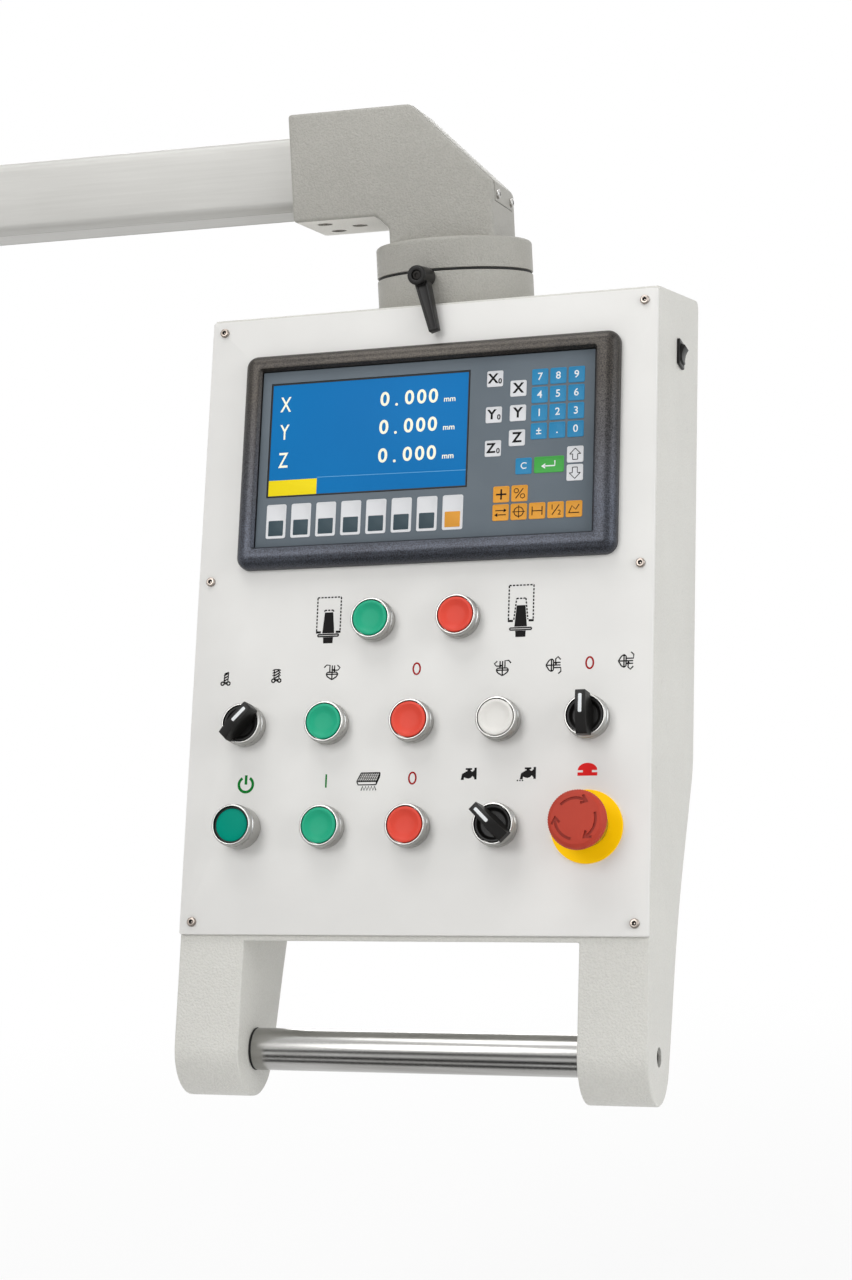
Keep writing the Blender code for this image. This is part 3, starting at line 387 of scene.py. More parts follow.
def paint(name, colour, **sockets):
    made = bpy.data.materials.new(name)
    made.use_nodes = True
    made.diffuse_color = colour
    shader = made.node_tree.nodes["Principled BSDF"]
    shader.inputs["Base Color"].default_value = colour
    for key, value in sockets.items():
        shader.inputs[key.replace("_", " ")].default_value = value
    looks[name] = made
    return shader, Wire(made.node_tree)


def feed(shader, socket, wire):
    wire.tree.links.new(wire.socket, shader.inputs[socket])


def spot(wire, scale=(1, 1, 1), angle=(0, 0, 0)):
    where = wire.node("TexCoord", {}, {}, "Object")
    return wire.node("Mapping", {}, {"Vector": where, "Scale": scale, "Rotation": angle})


def noise(wire, scale, detail=2.0, rough=0.5, stretch=(1, 1, 1), angle=(0, 0, 0)):
    inputs = {"Vector": spot(wire, stretch, angle), "Scale": scale, "Detail": detail, "Roughness": rough}
    return wire.node("TexNoise", {}, inputs)


def blendOf(wire, share, first, second):
    return wire.node("Mix", {"data_type": "RGBA"}, {"Factor": share, "A": first, "B": second}, 2)


def bumped(wire, shader, height, strength, distance):
    inputs = {"Height": height, "Strength": strength, "Distance": distance}
    feed(shader, "Normal", wire.node("Bump", {}, inputs))


def between(wire, value, low, high):
    # 0 at low, 1 at high
    return wire.node("MapRange", {}, {"Value": value, "From Min": low, "From Max": high})


def orangePeel(name, light, dark, grain, depth, rough):
    # sprayed paint: fine pebbles with painted shade in their valleys, a slow drift of tone and a few dull
    # specks
    light, dark = tone(light), tone(dark)
    shader, wire = paint(name, light)
    pebbles = noise(wire, grain, detail=3.0, rough=0.55)
    drift = between(wire, noise(wire, 14, detail=3.0), low=0.3, high=0.7)
    specks = between(wire, noise(wire, 130, detail=1.0), low=0.70, high=0.78)
    # painted shade: the low parts of the pebbles are painted darker
    paintedValleyShade = between(wire, pebbles, low=0.62, high=0.38)
    feed(shader, "Base Color", blendOf(wire, drift * 0.4 + specks * 0.4 + paintedValleyShade * 0.5, light, dark))
    feed(shader, "Roughness", rough + pebbles * 0.18)
    bumped(wire, shader, pebbles, strength=0.55, distance=depth)


def satin(name, light, dark, rough, metal, grain=900.0, depth=0.00004, **sockets):
    # moulded or ground surface with fine grain and a slow drift of tone
    light, dark = tone(light), tone(dark)
    shader, wire = paint(name, light, Metallic=metal, **sockets)
    fine = noise(wire, grain)
    drift = between(wire, noise(wire, 22), low=0.25, high=0.75)
    feed(shader, "Base Color", blendOf(wire, drift, light, dark))
    feed(shader, "Roughness", rough + fine * 0.12)
    bumped(wire, shader, fine, strength=0.35, distance=depth)


def plastic(name, light, dark, rough=0.40, shine=0.22):
    satin(name, light, dark, rough, metal=0, grain=1100, depth=0.00008, Specular_IOR_Level=shine)


def streaked(name, light, dark, rough, metal, stretch, angle, scale, depth):
    # drawn or polished metal, its marks running one way
    light, dark = tone(light), tone(dark)
    shader, wire = paint(name, light, Metallic=metal)
    lines = noise(wire, scale, detail=4.0, rough=0.6, stretch=stretch, angle=angle)
    cloud = between(wire, noise(wire, 9), low=0.3, high=0.7)
    share = between(wire, lines, low=0.3, high=0.7) * 0.6 + cloud * 0.4
    feed(shader, "Base Color", blendOf(wire, share, light, dark))
    feed(shader, "Roughness", rough + lines * 0.14)
    bumped(wire, shader, lines, strength=0.25, distance=depth)


def grainy(name, light, low, dark, paintedReflectionHeights, rough, metal):
    # textured paint with metal flakes and a painted reflection: warm on its upper part, cooler towards its
    # lower end
    light, low, dark = tone(light), tone(low), tone(dark)
    shader, wire = paint(name, light, Metallic=metal)
    flakes = noise(wire, 1100, rough=0.7)
    drift = between(wire, noise(wire, 16), low=0.3, high=0.7)
    share = between(wire, flakes, low=0.36, high=0.64) * 0.7 + drift * 0.3
    # painted reflection: the flakes blend by height from a warm sheen up top to a cool, bluish tone lower
    # down
    height = wire.node("SeparateXYZ", {}, {"Vector": spot(wire)}, "Z")
    flakeWithPaintedReflection = blendOf(wire, between(wire, height, *paintedReflectionHeights), light, low)
    feed(shader, "Base Color", blendOf(wire, share, dark, flakeWithPaintedReflection))
    feed(shader, "Roughness", rough + flakes * 0.16)
    bumped(wire, shader, flakes, strength=0.6, distance=0.0002)


def screenGlow(name, light, dark, glow):
    # a lit display behind a clear sheet
    light, dark = tone(light), tone(dark)
    shader, wire = paint(name, light, Roughness=0.5, Specular_IOR_Level=0.12, Emission_Strength=glow)
    drift = between(wire, noise(wire, 11, detail=1.0), low=0.25, high=0.75)
    mixed = blendOf(wire, drift, light, dark)
    feed(shader, "Base Color", mixed)
    feed(shader, "Emission Color", mixed)


alongBar = (0, 0, math.radians(-hang["yaw"]))
# each recipe with its values, in the order it takes them
finishes = {
    orangePeel: {
        "castingPaint": ((179, 177, 170), (160, 158, 151), 820, 0.0012, 0.40),
        "castingPale": ((250, 248, 242), (238, 236, 230), 820, 0.0005, 0.42),
        "housingPaint": ((221, 220, 214), (208, 207, 201), 700, 0.0012, 0.36),
    },
    streaked: {
        "armAluminium": ((198, 197, 193), (187, 186, 182), 0.40, 0.25, (0.03, 1, 1), (0, 0, 0), 420, 0.00003),
        "barChrome": ((184, 184, 182), (156, 155, 152), 0.15, 1, (0.02, 1, 1), alongBar, 160, 0.000012),
    },
    grainy: {
        # the frame's warm upper tone and cool lower tone are a painted reflection
        "frameGraphite": ((82, 77, 71), (84, 88, 98), (32, 31, 32), (-0.16, -0.25), 0.30, 0.75),
    },
    satin: {
        "chrome": ((190, 189, 186), (176, 175, 172), 0.24, 1, 500, 0.00001),
        "screwSteel": ((206, 204, 200), (176, 174, 170), 0.18, 1, 700),
        "screwWarm": ((178, 168, 160), (150, 140, 132), 0.26, 1, 700),
        "blackRubber": ((24, 23, 23), (18, 18, 18), 0.62, 0),
    },
    screenGlow: {
        "screenBlue": ((6, 100, 158), (5, 94, 152), 0.45),
        "screenInk": ((214, 211, 190), (206, 203, 182), 0.6),
        "screenTab": ((206, 186, 18), (200, 180, 14), 0.5),
        "screenRule": ((80, 142, 186), (74, 134, 178), 0.4),
    },
    plastic: {
        "membrane": ((104, 114, 122), (94, 104, 112), 0.45),
        "keyBlue": ((44, 134, 180), (38, 126, 172)),
        "keyGrey": ((224, 225, 227), (214, 215, 218)),
        "keyGreen": ((70, 166, 74), (62, 158, 66)),
        "keyOrange": ((226, 158, 56), (218, 150, 50)),
        "keyDark": ((58, 76, 84), (52, 68, 76)),
        "inkWhite": ((238, 241, 242), (230, 233, 234), 0.5),
        "inkBlack": ((22, 20, 20), (16, 15, 15), 0.5, 0.1),
        "inkRed": ((164, 20, 24), (154, 16, 20), 0.5, 0.1),
        "inkBright": ((226, 36, 36), (218, 30, 30), 0.5, 0.1),
        "inkGreen": ((8, 124, 44), (6, 116, 40), 0.5, 0.1),
        "capGreen": ((34, 172, 132), (26, 164, 124)),
        "capRed": ((230, 80, 62), (222, 72, 56)),
        "capWhite": ((236, 234, 229), (230, 228, 223)),
        "lensTeal": ((0, 150, 128), (0, 142, 120), 0.3, 0.04),
        "stopRed": ((187, 64, 46), (179, 58, 41), 0.44),
        # a darker red for the floor of the sunk arrows: painted shade in the grooves
        "stopRedDark": ((160, 56, 44), (152, 51, 40), 0.5),
    },
}
for recipe, named in finishes.items():
    for name, values in named.items():
        recipe(name, *values)
satin("panelWhite", (234, 233, 230), (229, 228, 225), 0.45, 0, 1300, 0.00002, Specular_IOR_Level=0.3)
satin("blackPlastic", (25, 24, 23), (18, 17, 16), 0.34, 0, 1200, 0.00006, Specular_IOR_Level=0.26)
satin("screwDark", (44, 42, 40), (34, 32, 31), 0.42, 0.4, 700, Specular_IOR_Level=0.2)
# the yellow disc glows faintly: painted light that lifts the shade the stop head casts on it
satin("stopYellowPaintedGlow", (255, 208, 0), (255, 202, 0), 0.42, 0, 1100, 0.00008, Specular_IOR_Level=0.1,
      Emission_Color=tone((255, 190, 0)), Emission_Strength=0.14)
print("materials mixed:", len(looks))

# Arm: a two-chamber extrusion with a sawn end
arm = {"length": 400, "deep": 62, "tall": 52, "edge": 7, "rounds": 10, "wall": 4, "web": 6, "groove": 1.5,
       "burr": (0.4, 1, 60), "over": 1}


def makeArm():
    deep, tall, edge, groove = arm["deep"] / 2, arm["tall"] / 2, arm["edge"], arm["groove"]
    wall, webHalf, length, over = arm["wall"], arm["web"] / 2, arm["length"], arm["over"]
    grooveAt = deep - edge - groove
    corners = [(-deep, -tall, edge)]
    for middle in (-grooveAt, grooveAt):
        corners += [(middle - groove, -tall), (middle, groove - tall), (middle + groove, -tall)]
    corners += [(deep, -tall, edge), (deep, tall, edge), (-deep, tall, edge)]
    bar = slab(eased(corners, arm["rounds"]), 0, length)
    for low, high in ((webHalf, tall - wall), (wall - tall, -webHalf)):
        cut(bar, plate(wall - deep, low, deep - wall, high, edge - wall, -over, length + over))
    soften(bar, *arm["burr"])
    place(bar, armAt @ alongX)
    keep(bar, "armExtrusion", "armAluminium", "arm_aluminium", "arm_profile", body="arm")


makeArm()
print("arm drawn")

# Elbow casting, its cover and the swivel rings, measured from the swivel axis and the split.
# Profiles of turned pieces hold the steps of the turn and of a rounding, then radius, height and rounding
# of each corner. Edges hold width, steps and the angle from which they are softened
elbow = {"reach": 107, "top": 118.3, "belly": 42.2, "half": 41, "neck": 37.5, "neckFoot": 11, "chamfer": 9,
         "slopeStart": -18.5, "slopeEnd": 60.8, "edge": (2.4, 4, 20), "armIn": 62, "armUp": 78.4, "gap": 0.3,
         "over": 5, "flange": (128, 6, (0, 22.5), (55.8, 22.5, 2.6), (55.8, 0.6, 0.5), (0, 0.6))}
cover = {"half": 30, "sheet": 1.5, "proud": 0.5, "tail": 27, "apron": 13, "bend": 2.5, "bendSteps": 5,
         "edge": (0.35, 2, 50), "above": 8, "sunkAt": ((-33.5, -24), (-33.5, 24)), "sunkHead": 2.4,
         "sunkHole": 3.9, "sunkOver": 4, "lowAt": (-24, 24), "lowDrop": 8, "screw": (3.4, 2.2, 1.2, 1.8)}
pad = {"in": 2.4, "proud": 0.12, "corner": 2, "back": 1, "end": 1}
soleScrews = {"places": ((-89.5, -19), (-89.5, 19), (-68.6, 0)), "sink": 5.6, "deep": 3, "over": 1,
              "screw": (4.6, 2.4, 0.8, 2.4)}
# a socket's cut, floor and pit are shares of the head's height, and the pit's width of the socket's
screwForm = {"steps": 40, "rounds": 5, "sides": 6, "cut": 0.2, "floor": 0.3, "pit": 0.15, "pitWide": 0.7,
             "pitSteps": 24, "gap": 0.03, "low": 0.05, "over": 1}


def besidePath(path, distance):
    # the path moved sideways, its corners kept sharp
    lines = []
    for first, second in zip(path, path[1:]):
        first, second = Vector(first), Vector(second)
        along = (second - first).normalized()
        lines.append((first + Vector((along.y, -along.x)) * distance, along))
    points = [lines[0][0]]
    for (start, along), (nextStart, nextAlong) in zip(lines, lines[1:]):
        share = (nextStart - start).cross(nextAlong) / along.cross(nextAlong)
        points.append(start + along * share)
    start, along = lines[-1]
    points.append(start + along * (Vector(path[-1]) - Vector(path[-2])).length)
    return points


def bentBand(path, under, over, bend):
    # the section of a sheet along the path, its bends rounded
    sides = []
    for distance in (under, -over):
        first, *bends, last = besidePath(path, distance)
        sides.append([tuple(first)] + [(*point, bend) for point in bends] + [tuple(last)])
    return eased(sides[0] + sides[1][::-1], cover["bendSteps"])


def screwSet(name, look, places, radius, tall, dome, socket, body="pendant"):
    # round heads with hexagon sockets, standing on z = 0, and a dark floor in each socket: painted shade at
    # the bottom of the socket
    over, sides = tall + screwForm["over"], screwForm["sides"]
    outline = ((0, tall), (radius, tall, dome), (radius, 0), (0, 0))
    head = turned(screwForm["steps"], screwForm["rounds"], *outline)
    cut(head, rod(socket, tall * screwForm["cut"], over, sides))
    pitWide, floorTop = socket * screwForm["pitWide"], tall * screwForm["floor"]
    # the socket floor is a dark piece that stands for the shade deep in the socket: painted shade
    floor = rod(socket - screwForm["gap"], screwForm["low"], floorTop, sides)
    pit = ((0, over), (pitWide, over), (pitWide, floorTop), (0, tall * screwForm["pit"]))
    cut(floor, turned(screwForm["pitSteps"], 1, *pit))
    keep(spread(head, places), name, look, "steel", body=body)
    keep(spread(floor, places), name + "SocketShade", "screwDark", "steel", body=body)


def makeElbow():
    reach, top, belly, half = elbow["reach"], elbow["top"], elbow["belly"], elbow["half"]
    neck, neckFoot, chamfer, gap = elbow["neck"], elbow["neckFoot"], elbow["chamfer"], elbow["gap"]
    slopeStart, slopeEnd = elbow["slopeStart"], elbow["slopeEnd"]
    outline = [(-reach, belly), (-neck - chamfer, belly), (-neck, belly - chamfer), (-neck, neckFoot),
               (neck, neckFoot), (neck, slopeEnd), (slopeStart, top), (-reach, top)]
    casting = place(slab(outline, -half, half), standUp)
    soften(casting, *elbow["edge"])
    cut(casting, turned(*elbow["flange"]), "UNION")
    deep, tall = arm["deep"] / 2 + gap, arm["tall"] / 2 + gap
    pocket = plate(-deep, -tall, deep, tall, arm["edge"], -elbow["over"], elbow["armIn"] + gap)
    cut(casting, place(pocket, shift(-reach, 0, elbow["armUp"]) @ alongX))
    sink, over, soleSpots = soleScrews["sink"], soleScrews["over"], dotted(soleScrews["places"])
    cut(casting, spread(rod(sink, belly - over, belly + soleScrews["deep"]), soleSpots))
    path = [(slopeStart - cover["tail"], top), (slopeStart, top), (neck, slopeEnd),
            (neck, slopeEnd - cover["apron"])]
    longer = [(path[0][0] - gap, top), *path[1:3], (neck, path[3][1] - gap)]
    wide, sunk = cover["half"], cover["sheet"] - cover["proud"]
    seat = slab(bentBand(longer, sunk + gap, cover["above"], cover["bend"]), -wide - gap, wide + gap)
    cut(casting, place(seat, standUp))
    low, high, inset = belly - pad["proud"], belly + pad["back"], pad["in"]
    field = (inset - reach, inset - half, -neck - chamfer - pad["end"], half - inset)
    sole = plate(*field, pad["corner"], low, high)
    cut(sole, spread(rod(sink, low - over, high + over), soleSpots))
    keep(place(sole, swivelAt), "elbowSole", "castingPale", "casting_paint", body="arm")
    place(casting, swivelAt)
    keep(casting, "elbowCasting", "castingPaint", "casting_paint", "elbow_casting", body="arm")
    lid = place(slab(bentBand(path, sunk, cover["proud"], cover["bend"]), -wide, wide), standUp)
    soften(lid, *cover["edge"])
    hole = rod(cover["sunkHole"], top - cover["sunkOver"], top + cover["sunkOver"])
    cut(lid, spread(hole, dotted(cover["sunkAt"])))
    keep(place(lid, swivelAt), "elbowCover", "castingPaint", "casting_paint", "elbow_cover", body="arm")


def makeElbowScrews():
    deep = elbow["belly"] + soleScrews["deep"]
    spots = [swivelAt @ at @ turn(180, "X") for at in dotted(soleScrews["places"], deep)]
    screwSet("soleScrews", "screwWarm", spots, *soleScrews["screw"], body="arm")
    face, low = elbow["neck"] + cover["proud"], elbow["slopeEnd"] - cover["lowDrop"]
    spots = [swivelAt @ shift(face, y, low) @ outward for y in cover["lowAt"]]
    high = elbow["top"] + cover["proud"] - cover["sunkHead"]
    spots += [swivelAt @ at for at in dotted(cover["sunkAt"], high)]
    screwSet("coverScrews", "screwSteel", spots, *cover["screw"], body="arm")


swivel = {"collar": (128, 4, (25.3, -1.2), (55.8, -1.2, 0.8), (55.8, -24, 0.8), (47.8, -24), (47.8, -11.2),
                     (33.3, -11.2), (33.3, -24), (25.3, -24)),
          "seal": (128, 6, (40.8, 0.3), (54.8, 0.3, 0.3), (54.8, -0.9, 0.3), (40.8, -0.9)),
          "studHole": (3.3, 20, 60.8, 24)}


def makeSwivel():
    collar = place(ringed(*swivel["collar"]), pendantAt)
    cut(collar, place(rod(*swivel["studHole"]), clampAt))
    keep(collar, "swivelCollar", "castingPaint", "casting_paint", "swivel_collar")
    seal = place(ringed(*swivel["seal"]), swivelAt)
    keep(seal, "swivelSeal", "blackRubber", "rubber_black", "swivel_seal", body="arm")


makeElbow()
makeElbowScrews()
makeSwivel()
print("elbow and swivel cast")

# Clamping lever: a hub on a stud, with a tapering grip. Heights run outwards from the swivel axis
lever = {"hub": (64, 5, (3.5, 77.8, 0.4), (6.8, 77.8, 1.2), (6.8, 57.8, 0.5), (4.8, 57.8), (4.8, 68.8),
                 (2.3, 68.8), (2.3, 71.1), (3.5, 71.1)),
         "gripAt": 67.8, "start": 5.8, "length": 36, "root": (9.4, 8.6), "tip": (6.6, 5.6),
         "edge": (1.0, 3, 45), "swing": 16, "flare": 12, "border": 1.5, "slope": 0.4, "channel": 0.5}
stud = {"profile": (40, 3, (0, 76.8), (3.2, 76.8, 0.4), (3.2, 75.4), (2, 75.4), (2, 68.5), (4.5, 68.5),
                    (4.5, 56.1), (3, 56.1), (3, 25.3), (0, 25.3)),
        "socket": (1.7, 75.9, 77.8, 6)}


def makeLever():
    hub = ringed(*lever["hub"])
    grip = block((-0.5, -0.5, 0), (0.5, 0.5, lever["length"]))
    edit(grip)
    for height, size in ((0, lever["root"]), (lever["length"], lever["tip"])):
        pick("VERT", lambda v: abs(v.co.z - height) < slack)
        bpy.ops.transform.resize(value=(*size, 1), center_override=(0, 0, height))
    pick("FACE", lambda f: abs(f.normal.y) > 0.9)
    bpy.ops.mesh.inset(thickness=lever["border"], use_individual=True)
    bpy.ops.mesh.inset(thickness=lever["slope"], depth=-lever["channel"], use_individual=True)
    done()
    soften(grip, *lever["edge"])
    aim = shift(0, 0, lever["gripAt"]) @ turn(lever["swing"], "Z") @ turn(90 - lever["flare"], "X")
    cut(hub, place(grip, aim @ shift(0, 0, lever["start"])), "UNION")
    hub = place(mended(hub), clampAt)
    keep(hub, "clampLever", "blackPlastic", "plastic_black", "clamp_lever", body="clamp_lever")
    screw = turned(*stud["profile"])
    cut(screw, rod(*stud["socket"]))
    keep(place(screw, clampAt), "clampStud", "screwDark", "steel", "clamp_stud", body="clamp_stud")


makeLever()
print("lever fitted")

# Housing: one side outline, measured down the panel and into the box, with a gap cut between its legs
housing = {"half": 161.7, "front": 3.3, "deep": 129.3, "backRound": 6, "bend": 307, "bendRound": 66,
           "knee": 413.5, "kneeIn": 86.17, "kneeRound": 430, "taper": 0.205, "handle": 509, "handleIn": 34.62,
           "legRound": 31.32, "floor": 439.7, "legWide": 46.2, "wall": 4, "roof": 6, "roomIn": 65,
           "edge": (1.2, 4, 50), "lip": 12, "lipTop": 13.7, "lipLow": 16, "mouthRound": 6, "mouth": (-9.3, 5),
           "rounds": 10, "legSteps": 28, "throat": (25.6, -44.3, -4.3, 64),
           "rocker": ((149.7, -34.1, -73.2), (173.7, -18.3, -59.8)),
           "boltHole": (48, 1, (0, 5), (6.4, 5), (6.4, -9), (4.3, -9), (4.3, -60), (0, -60))}
levelSlope = math.tan(math.radians(hang["lean"]))


def sideSlab(points, half):
    # an outline of down, inwards and rounding, drawn out across the box
    outline = [(-inwards, -down, *rest) for down, inwards, *rest in points]
    return place(slab(eased(outline, housing["rounds"]), -half, half), sideOn)


def onLeg(sign):
    return shift(sign * housing["half"], -housing["handle"], -housing["handleIn"]) @ turn(sign * 90, "Y")


def makeHousing():
    half, front, deep, floor = housing["half"], housing["front"], housing["deep"], housing["floor"]
    bend, knee, kneeIn, legEnd = housing["bend"], housing["knee"], housing["kneeIn"], housing["handle"]
    legFirst = math.degrees(math.atan2(1, housing["taper"]))
    corners = [(-front * levelSlope, front), (-deep * levelSlope, deep, housing["backRound"]),
               (bend, deep, housing["bendRound"]), (knee, kneeIn, housing["kneeRound"])]
    corners += arc(housing["legRound"], legFirst, -90, housing["legSteps"], (legEnd, housing["handleIn"]))
    shell = sideSlab(corners, half)
    far = 2 * deep
    gap = [(floor + (front + far) * levelSlope, -far), (floor + (front - far) * levelSlope, far),
           (legEnd + far, far), (legEnd + far, -far)]
    cut(shell, sideSlab(gap, half - housing["legWide"]))
    soften(shell, *housing["edge"])
    wall, roof, roomIn = housing["wall"], housing["roof"], housing["roomIn"]
    inFront, inBack = front + wall, deep - wall
    room = [(roof - inFront * levelSlope, inFront), (roof - inBack * levelSlope, inBack), (bend, inBack),
            (knee - wall, kneeIn), (floor - roof - roomIn * levelSlope, roomIn), (floor - roof, inFront)]
    cut(shell, sideSlab(room, half - wall))
    side = half - housing["lip"]
    lip = (-side, housing["lipLow"] - floor, side, -housing["lipTop"])
    cut(shell, plate(*lip, housing["mouthRound"], *housing["mouth"]))
    cut(shell, place(rod(*housing["throat"]), panelAt.inverted() @ pendantAt))
    cut(shell, block(*housing["rocker"]))
    for sign in (-1, 1):
        cut(shell, place(turned(*housing["boltHole"]), onLeg(sign)))
    keep(place(shell, panelAt), "pendantHousing", "housingPaint", "housing_paint", "housing")


handle = {"steps": 96, "rounds": 4, "end": ((0, 95.2), (4.3, 95.2), (4.3, 114.3), (14, 114.3, 1)),
          "endShadeRing": (96, 3, (12.6, 0), (14.15, 0, 0.4), (14.15, -0.9, 0.4), (12.6, -0.9)),
          "endShadeRingsAt": (115.2, -114.3), "socket": (3, -5.2, -0.7, 6),
          "bolt": (48, 3, (0, -1.7), (5.8, -1.7, 0.6), (5.8, -8.7), (4, -8.7), (4, -66.2), (0, -66.2))}


def makeHandle():
    across = panelAt @ shift(0, -housing["handle"], -housing["handleIn"]) @ outward
    mirrored = [(radius, -height, *edge) for radius, height, *edge in reversed(handle["end"])]
    bar = turned(handle["steps"], handle["rounds"], *handle["end"], *mirrored)
    keep(place(bar, across), "handleBar", "barChrome", "chrome", "handle_bar")
    # a thin black ring at each end of the bar: painted shade of the gap where the bar meets the leg
    ends = [across @ shift(0, 0, height) for height in handle["endShadeRingsAt"]]
    keep(spread(ringed(*handle["endShadeRing"]), ends), "handleEndShadeRings", "blackRubber", "rubber_black")
    for name, sign in (("left", -1), ("right", 1)):
        # the bolt heads are dark: painted shade of the deep hole in the leg
        bolt = turned(*handle["bolt"])
        cut(bolt, rod(*handle["socket"]))
        place(bolt, panelAt @ onLeg(sign))
        keep(bolt, "handleBolt_" + name, "screwDark", "steel", "handle_bolt_" + name)


makeHousing()
makeHandle()
print("housing and handle made")

# Front plate with its screws, and the grid of devices on it
grid = {"pitch": 60, "rowPitch": 70, "firstRow": 224.5}
buttons = {
    "row1_green": (-0.5, 0, "capGreen"), "row1_red": (0.5, 0, "capRed"),
    "row2_green": (-1, 1, "capGreen"), "row2_red": (0, 1, "capRed"), "row2_white": (1, 1, "capWhite"),
    "row3_lamp": (-2, 2, "lensTeal"), "row3_green": (-1, 2, "capGreen"), "row3_red": (0, 2, "capRed"),
}
capSlots = {"capGreen": "cap_green", "capRed": "cap_red", "capWhite": "cap_white", "lensTeal": "lens_teal"}
selectors = {"left": (-2, 1, -45), "right": (2, 1, 0), "lower": (1, 2, 45)}
stopSpot = (2, 2)
sheet = {"box": (-161.5, -435.7, 161.5, -1.7), "corner": 1.5, "thick": 3, "edge": 0.5,
         "hole": (11.2, -9, 9, 40), "window": (-116.8, -169.3, 119.5, -45.7), "windowCut": (-9, 9),
         "screws": (152.5, (10, 192, 427.5)), "screw": (3.2, 1.8, 1.0, 1.75), "screwUp": 0.05}


def deviceSpot(column, row):
    return column * grid["pitch"], grid["firstRow"] + row * grid["rowPitch"]


def makeFrontPlate():
    face = plate(*sheet["box"], sheet["corner"], -sheet["thick"], 0, sheet["edge"])
    cut(face, blockOn(sheet["window"], *sheet["windowCut"]))
    spots = [deviceSpot(*value[:2]) for value in (*buttons.values(), *selectors.values(), stopSpot)]
    cut(face, spread(rod(*sheet["hole"]), dotted([(x, -down) for x, down in spots])))
    keep(place(face, panelAt), "frontPlate", "panelWhite", "panel_white", "front_panel")
    across, downs = sheet["screws"]
    spots = [onPanel(side * across, down, sheet["screwUp"]) for side in (-1, 1) for down in downs]
    screwSet("plateScrews", "screwWarm", spots, *sheet["screw"])


makeFrontPlate()
print("front plate screwed on")

# Readout: frame, membrane with its keys, and the lit screen
readout = {"box": (-132, -185.5, 137.2, -31.2), "corner": 8.6, "wall": 2.4, "proud": 11, "round": 8.2,
           "rounds": 8, "window": (-118.5, -171, 121.2, -44), "windowCorner": 0.6, "foot": 0.3,
           "reveal": ((2, 10.75), (1.5, 10.55), (0.3, 8.8), (0, 8.4), (0, 0.3)),
           "face": 6.5, "sheet": 1.2, "sheetCorner": 0.5, "sheetEdge": 0.15, "gap": 0.3, "through": 5,
           "screen": (-111.5, -135.3, 33.3, -53.1), "glass": 6.1, "glassCorner": 0.3, "glassEdge": 0.1,
           "rim": 1.0, "rimUp": 0.15}


def grown(box, margin):
    left, low, right, high = box
    return left - margin, low - margin, right + margin, high + margin


def openLoop(low, high):
    # rims of the edited mesh between two heights
    pick("EDGE", lambda e: len(e.link_faces) < 2 and all(low < v.co.z < high for v in e.verts))


def makeReadoutFrame():
    letGo()
    foot, top, rounds = readout["foot"], readout["proud"], readout["rounds"]
    roundedPlane(*readout["box"], readout["corner"], foot, rounds)
    pull(0, 0, readout["wall"])
    rise, quarter = top - foot - readout["wall"], arc(1, 0, 90, rounds)
    for (wide, low), (nextWide, high) in zip(quarter, quarter[1:]):
        bpy.ops.mesh.inset(thickness=readout["round"] * (wide - nextWide), depth=rise * (high - low))
    bpy.ops.mesh.delete(type="ONLY_FACE")
    pick("FACE", lambda f: f.calc_center_median().z < foot + slack)
    bpy.ops.mesh.delete(type="ONLY_FACE")
    above = top
    for margin, height in readout["reveal"]:
        corner = readout["windowCorner"] + margin
        roundedPlane(*grown(readout["window"], margin), corner, height, rounds)
        bpy.ops.mesh.delete(type="ONLY_FACE")
        openLoop(height - slack, above + slack)
        bpy.ops.mesh.bridge_edge_loops()
        above = height
    openLoop(foot - slack, foot + slack)
    bpy.ops.mesh.bridge_edge_loops()
    closeUp()
    keep(place(done(), panelAt), "readoutFrame", "frameGraphite", "readout_frame", "readout_frame")


def makeMembrane():
    gap, face, glassTop, through = readout["gap"], readout["face"], readout["glass"], readout["through"]
    back, screenBox = face - readout["sheet"], readout["screen"]
    field = grown(readout["window"], -gap)
    membrane = plate(*field, readout["sheetCorner"], back, face, readout["sheetEdge"])
    cut(membrane, blockOn(grown(screenBox, gap), back - through, face + through))
    keep(place(membrane, panelAt), "membraneSheet", "membrane", "readout_sheet", "readout_keypad")
    pane, corner, ease = grown(screenBox, -readout["rim"]), readout["glassCorner"], readout["glassEdge"]
    glass = plate(*pane, corner, back, glassTop, ease)
    edge = plate(*screenBox, corner, back, glassTop + readout["rimUp"], ease)
    cut(edge, blockOn(pane, back - through, back + through))
    keep(place(edge, panelAt), "screenEdge", "blackPlastic", "screen_blue")
    keep(place(glass, panelAt), "screenGlass", "screenBlue", "screen_blue", "readout_screen")


# Marks are thin raised prints
inkThick = 0.06


def label(text, at, size, bold, wide=1.0):
    letGo()
    bpy.ops.object.text_add()
    words = bpy.context.object
    words.data.body = text
    words.data.size = size
    words.data.align_x = "CENTER"
    words.data.align_y = "CENTER"
    words.data.extrude = inkThick / 2
    words.data.offset = bold
    words.data.resolution_u = 4
    bpy.ops.object.convert(target="MESH")
    return place(mended(bpy.context.object), at @ Matrix.Diagonal((wide, 1, 1, 1)))


def stroke(points, width):
    # a line of even width, as an outline
    last = len(points) - 1
    left, right = [], []
    for index, point in enumerate(points):
        along = (Vector(points[min(index + 1, last)]) - Vector(points[max(index - 1, 0)])).normalized()
        side = Vector((-along.y, along.x)) * width / 2
        left.append(tuple(Vector(point) + side))
        right.append(tuple(Vector(point) - side))
    return left + right[::-1]


def inked(strokes, at):
    # each stroke is a width and the points of its line, or 0 and the points of a filled shape
    prints = [slab(stroke(points, width) if width else points, 0, inkThick) for width, *points in strokes]
    return place(joined(prints), at)


def outlined(points, width):
    return [(width, first, second) for first, second in zip(points, points[1:] + points[:1])]


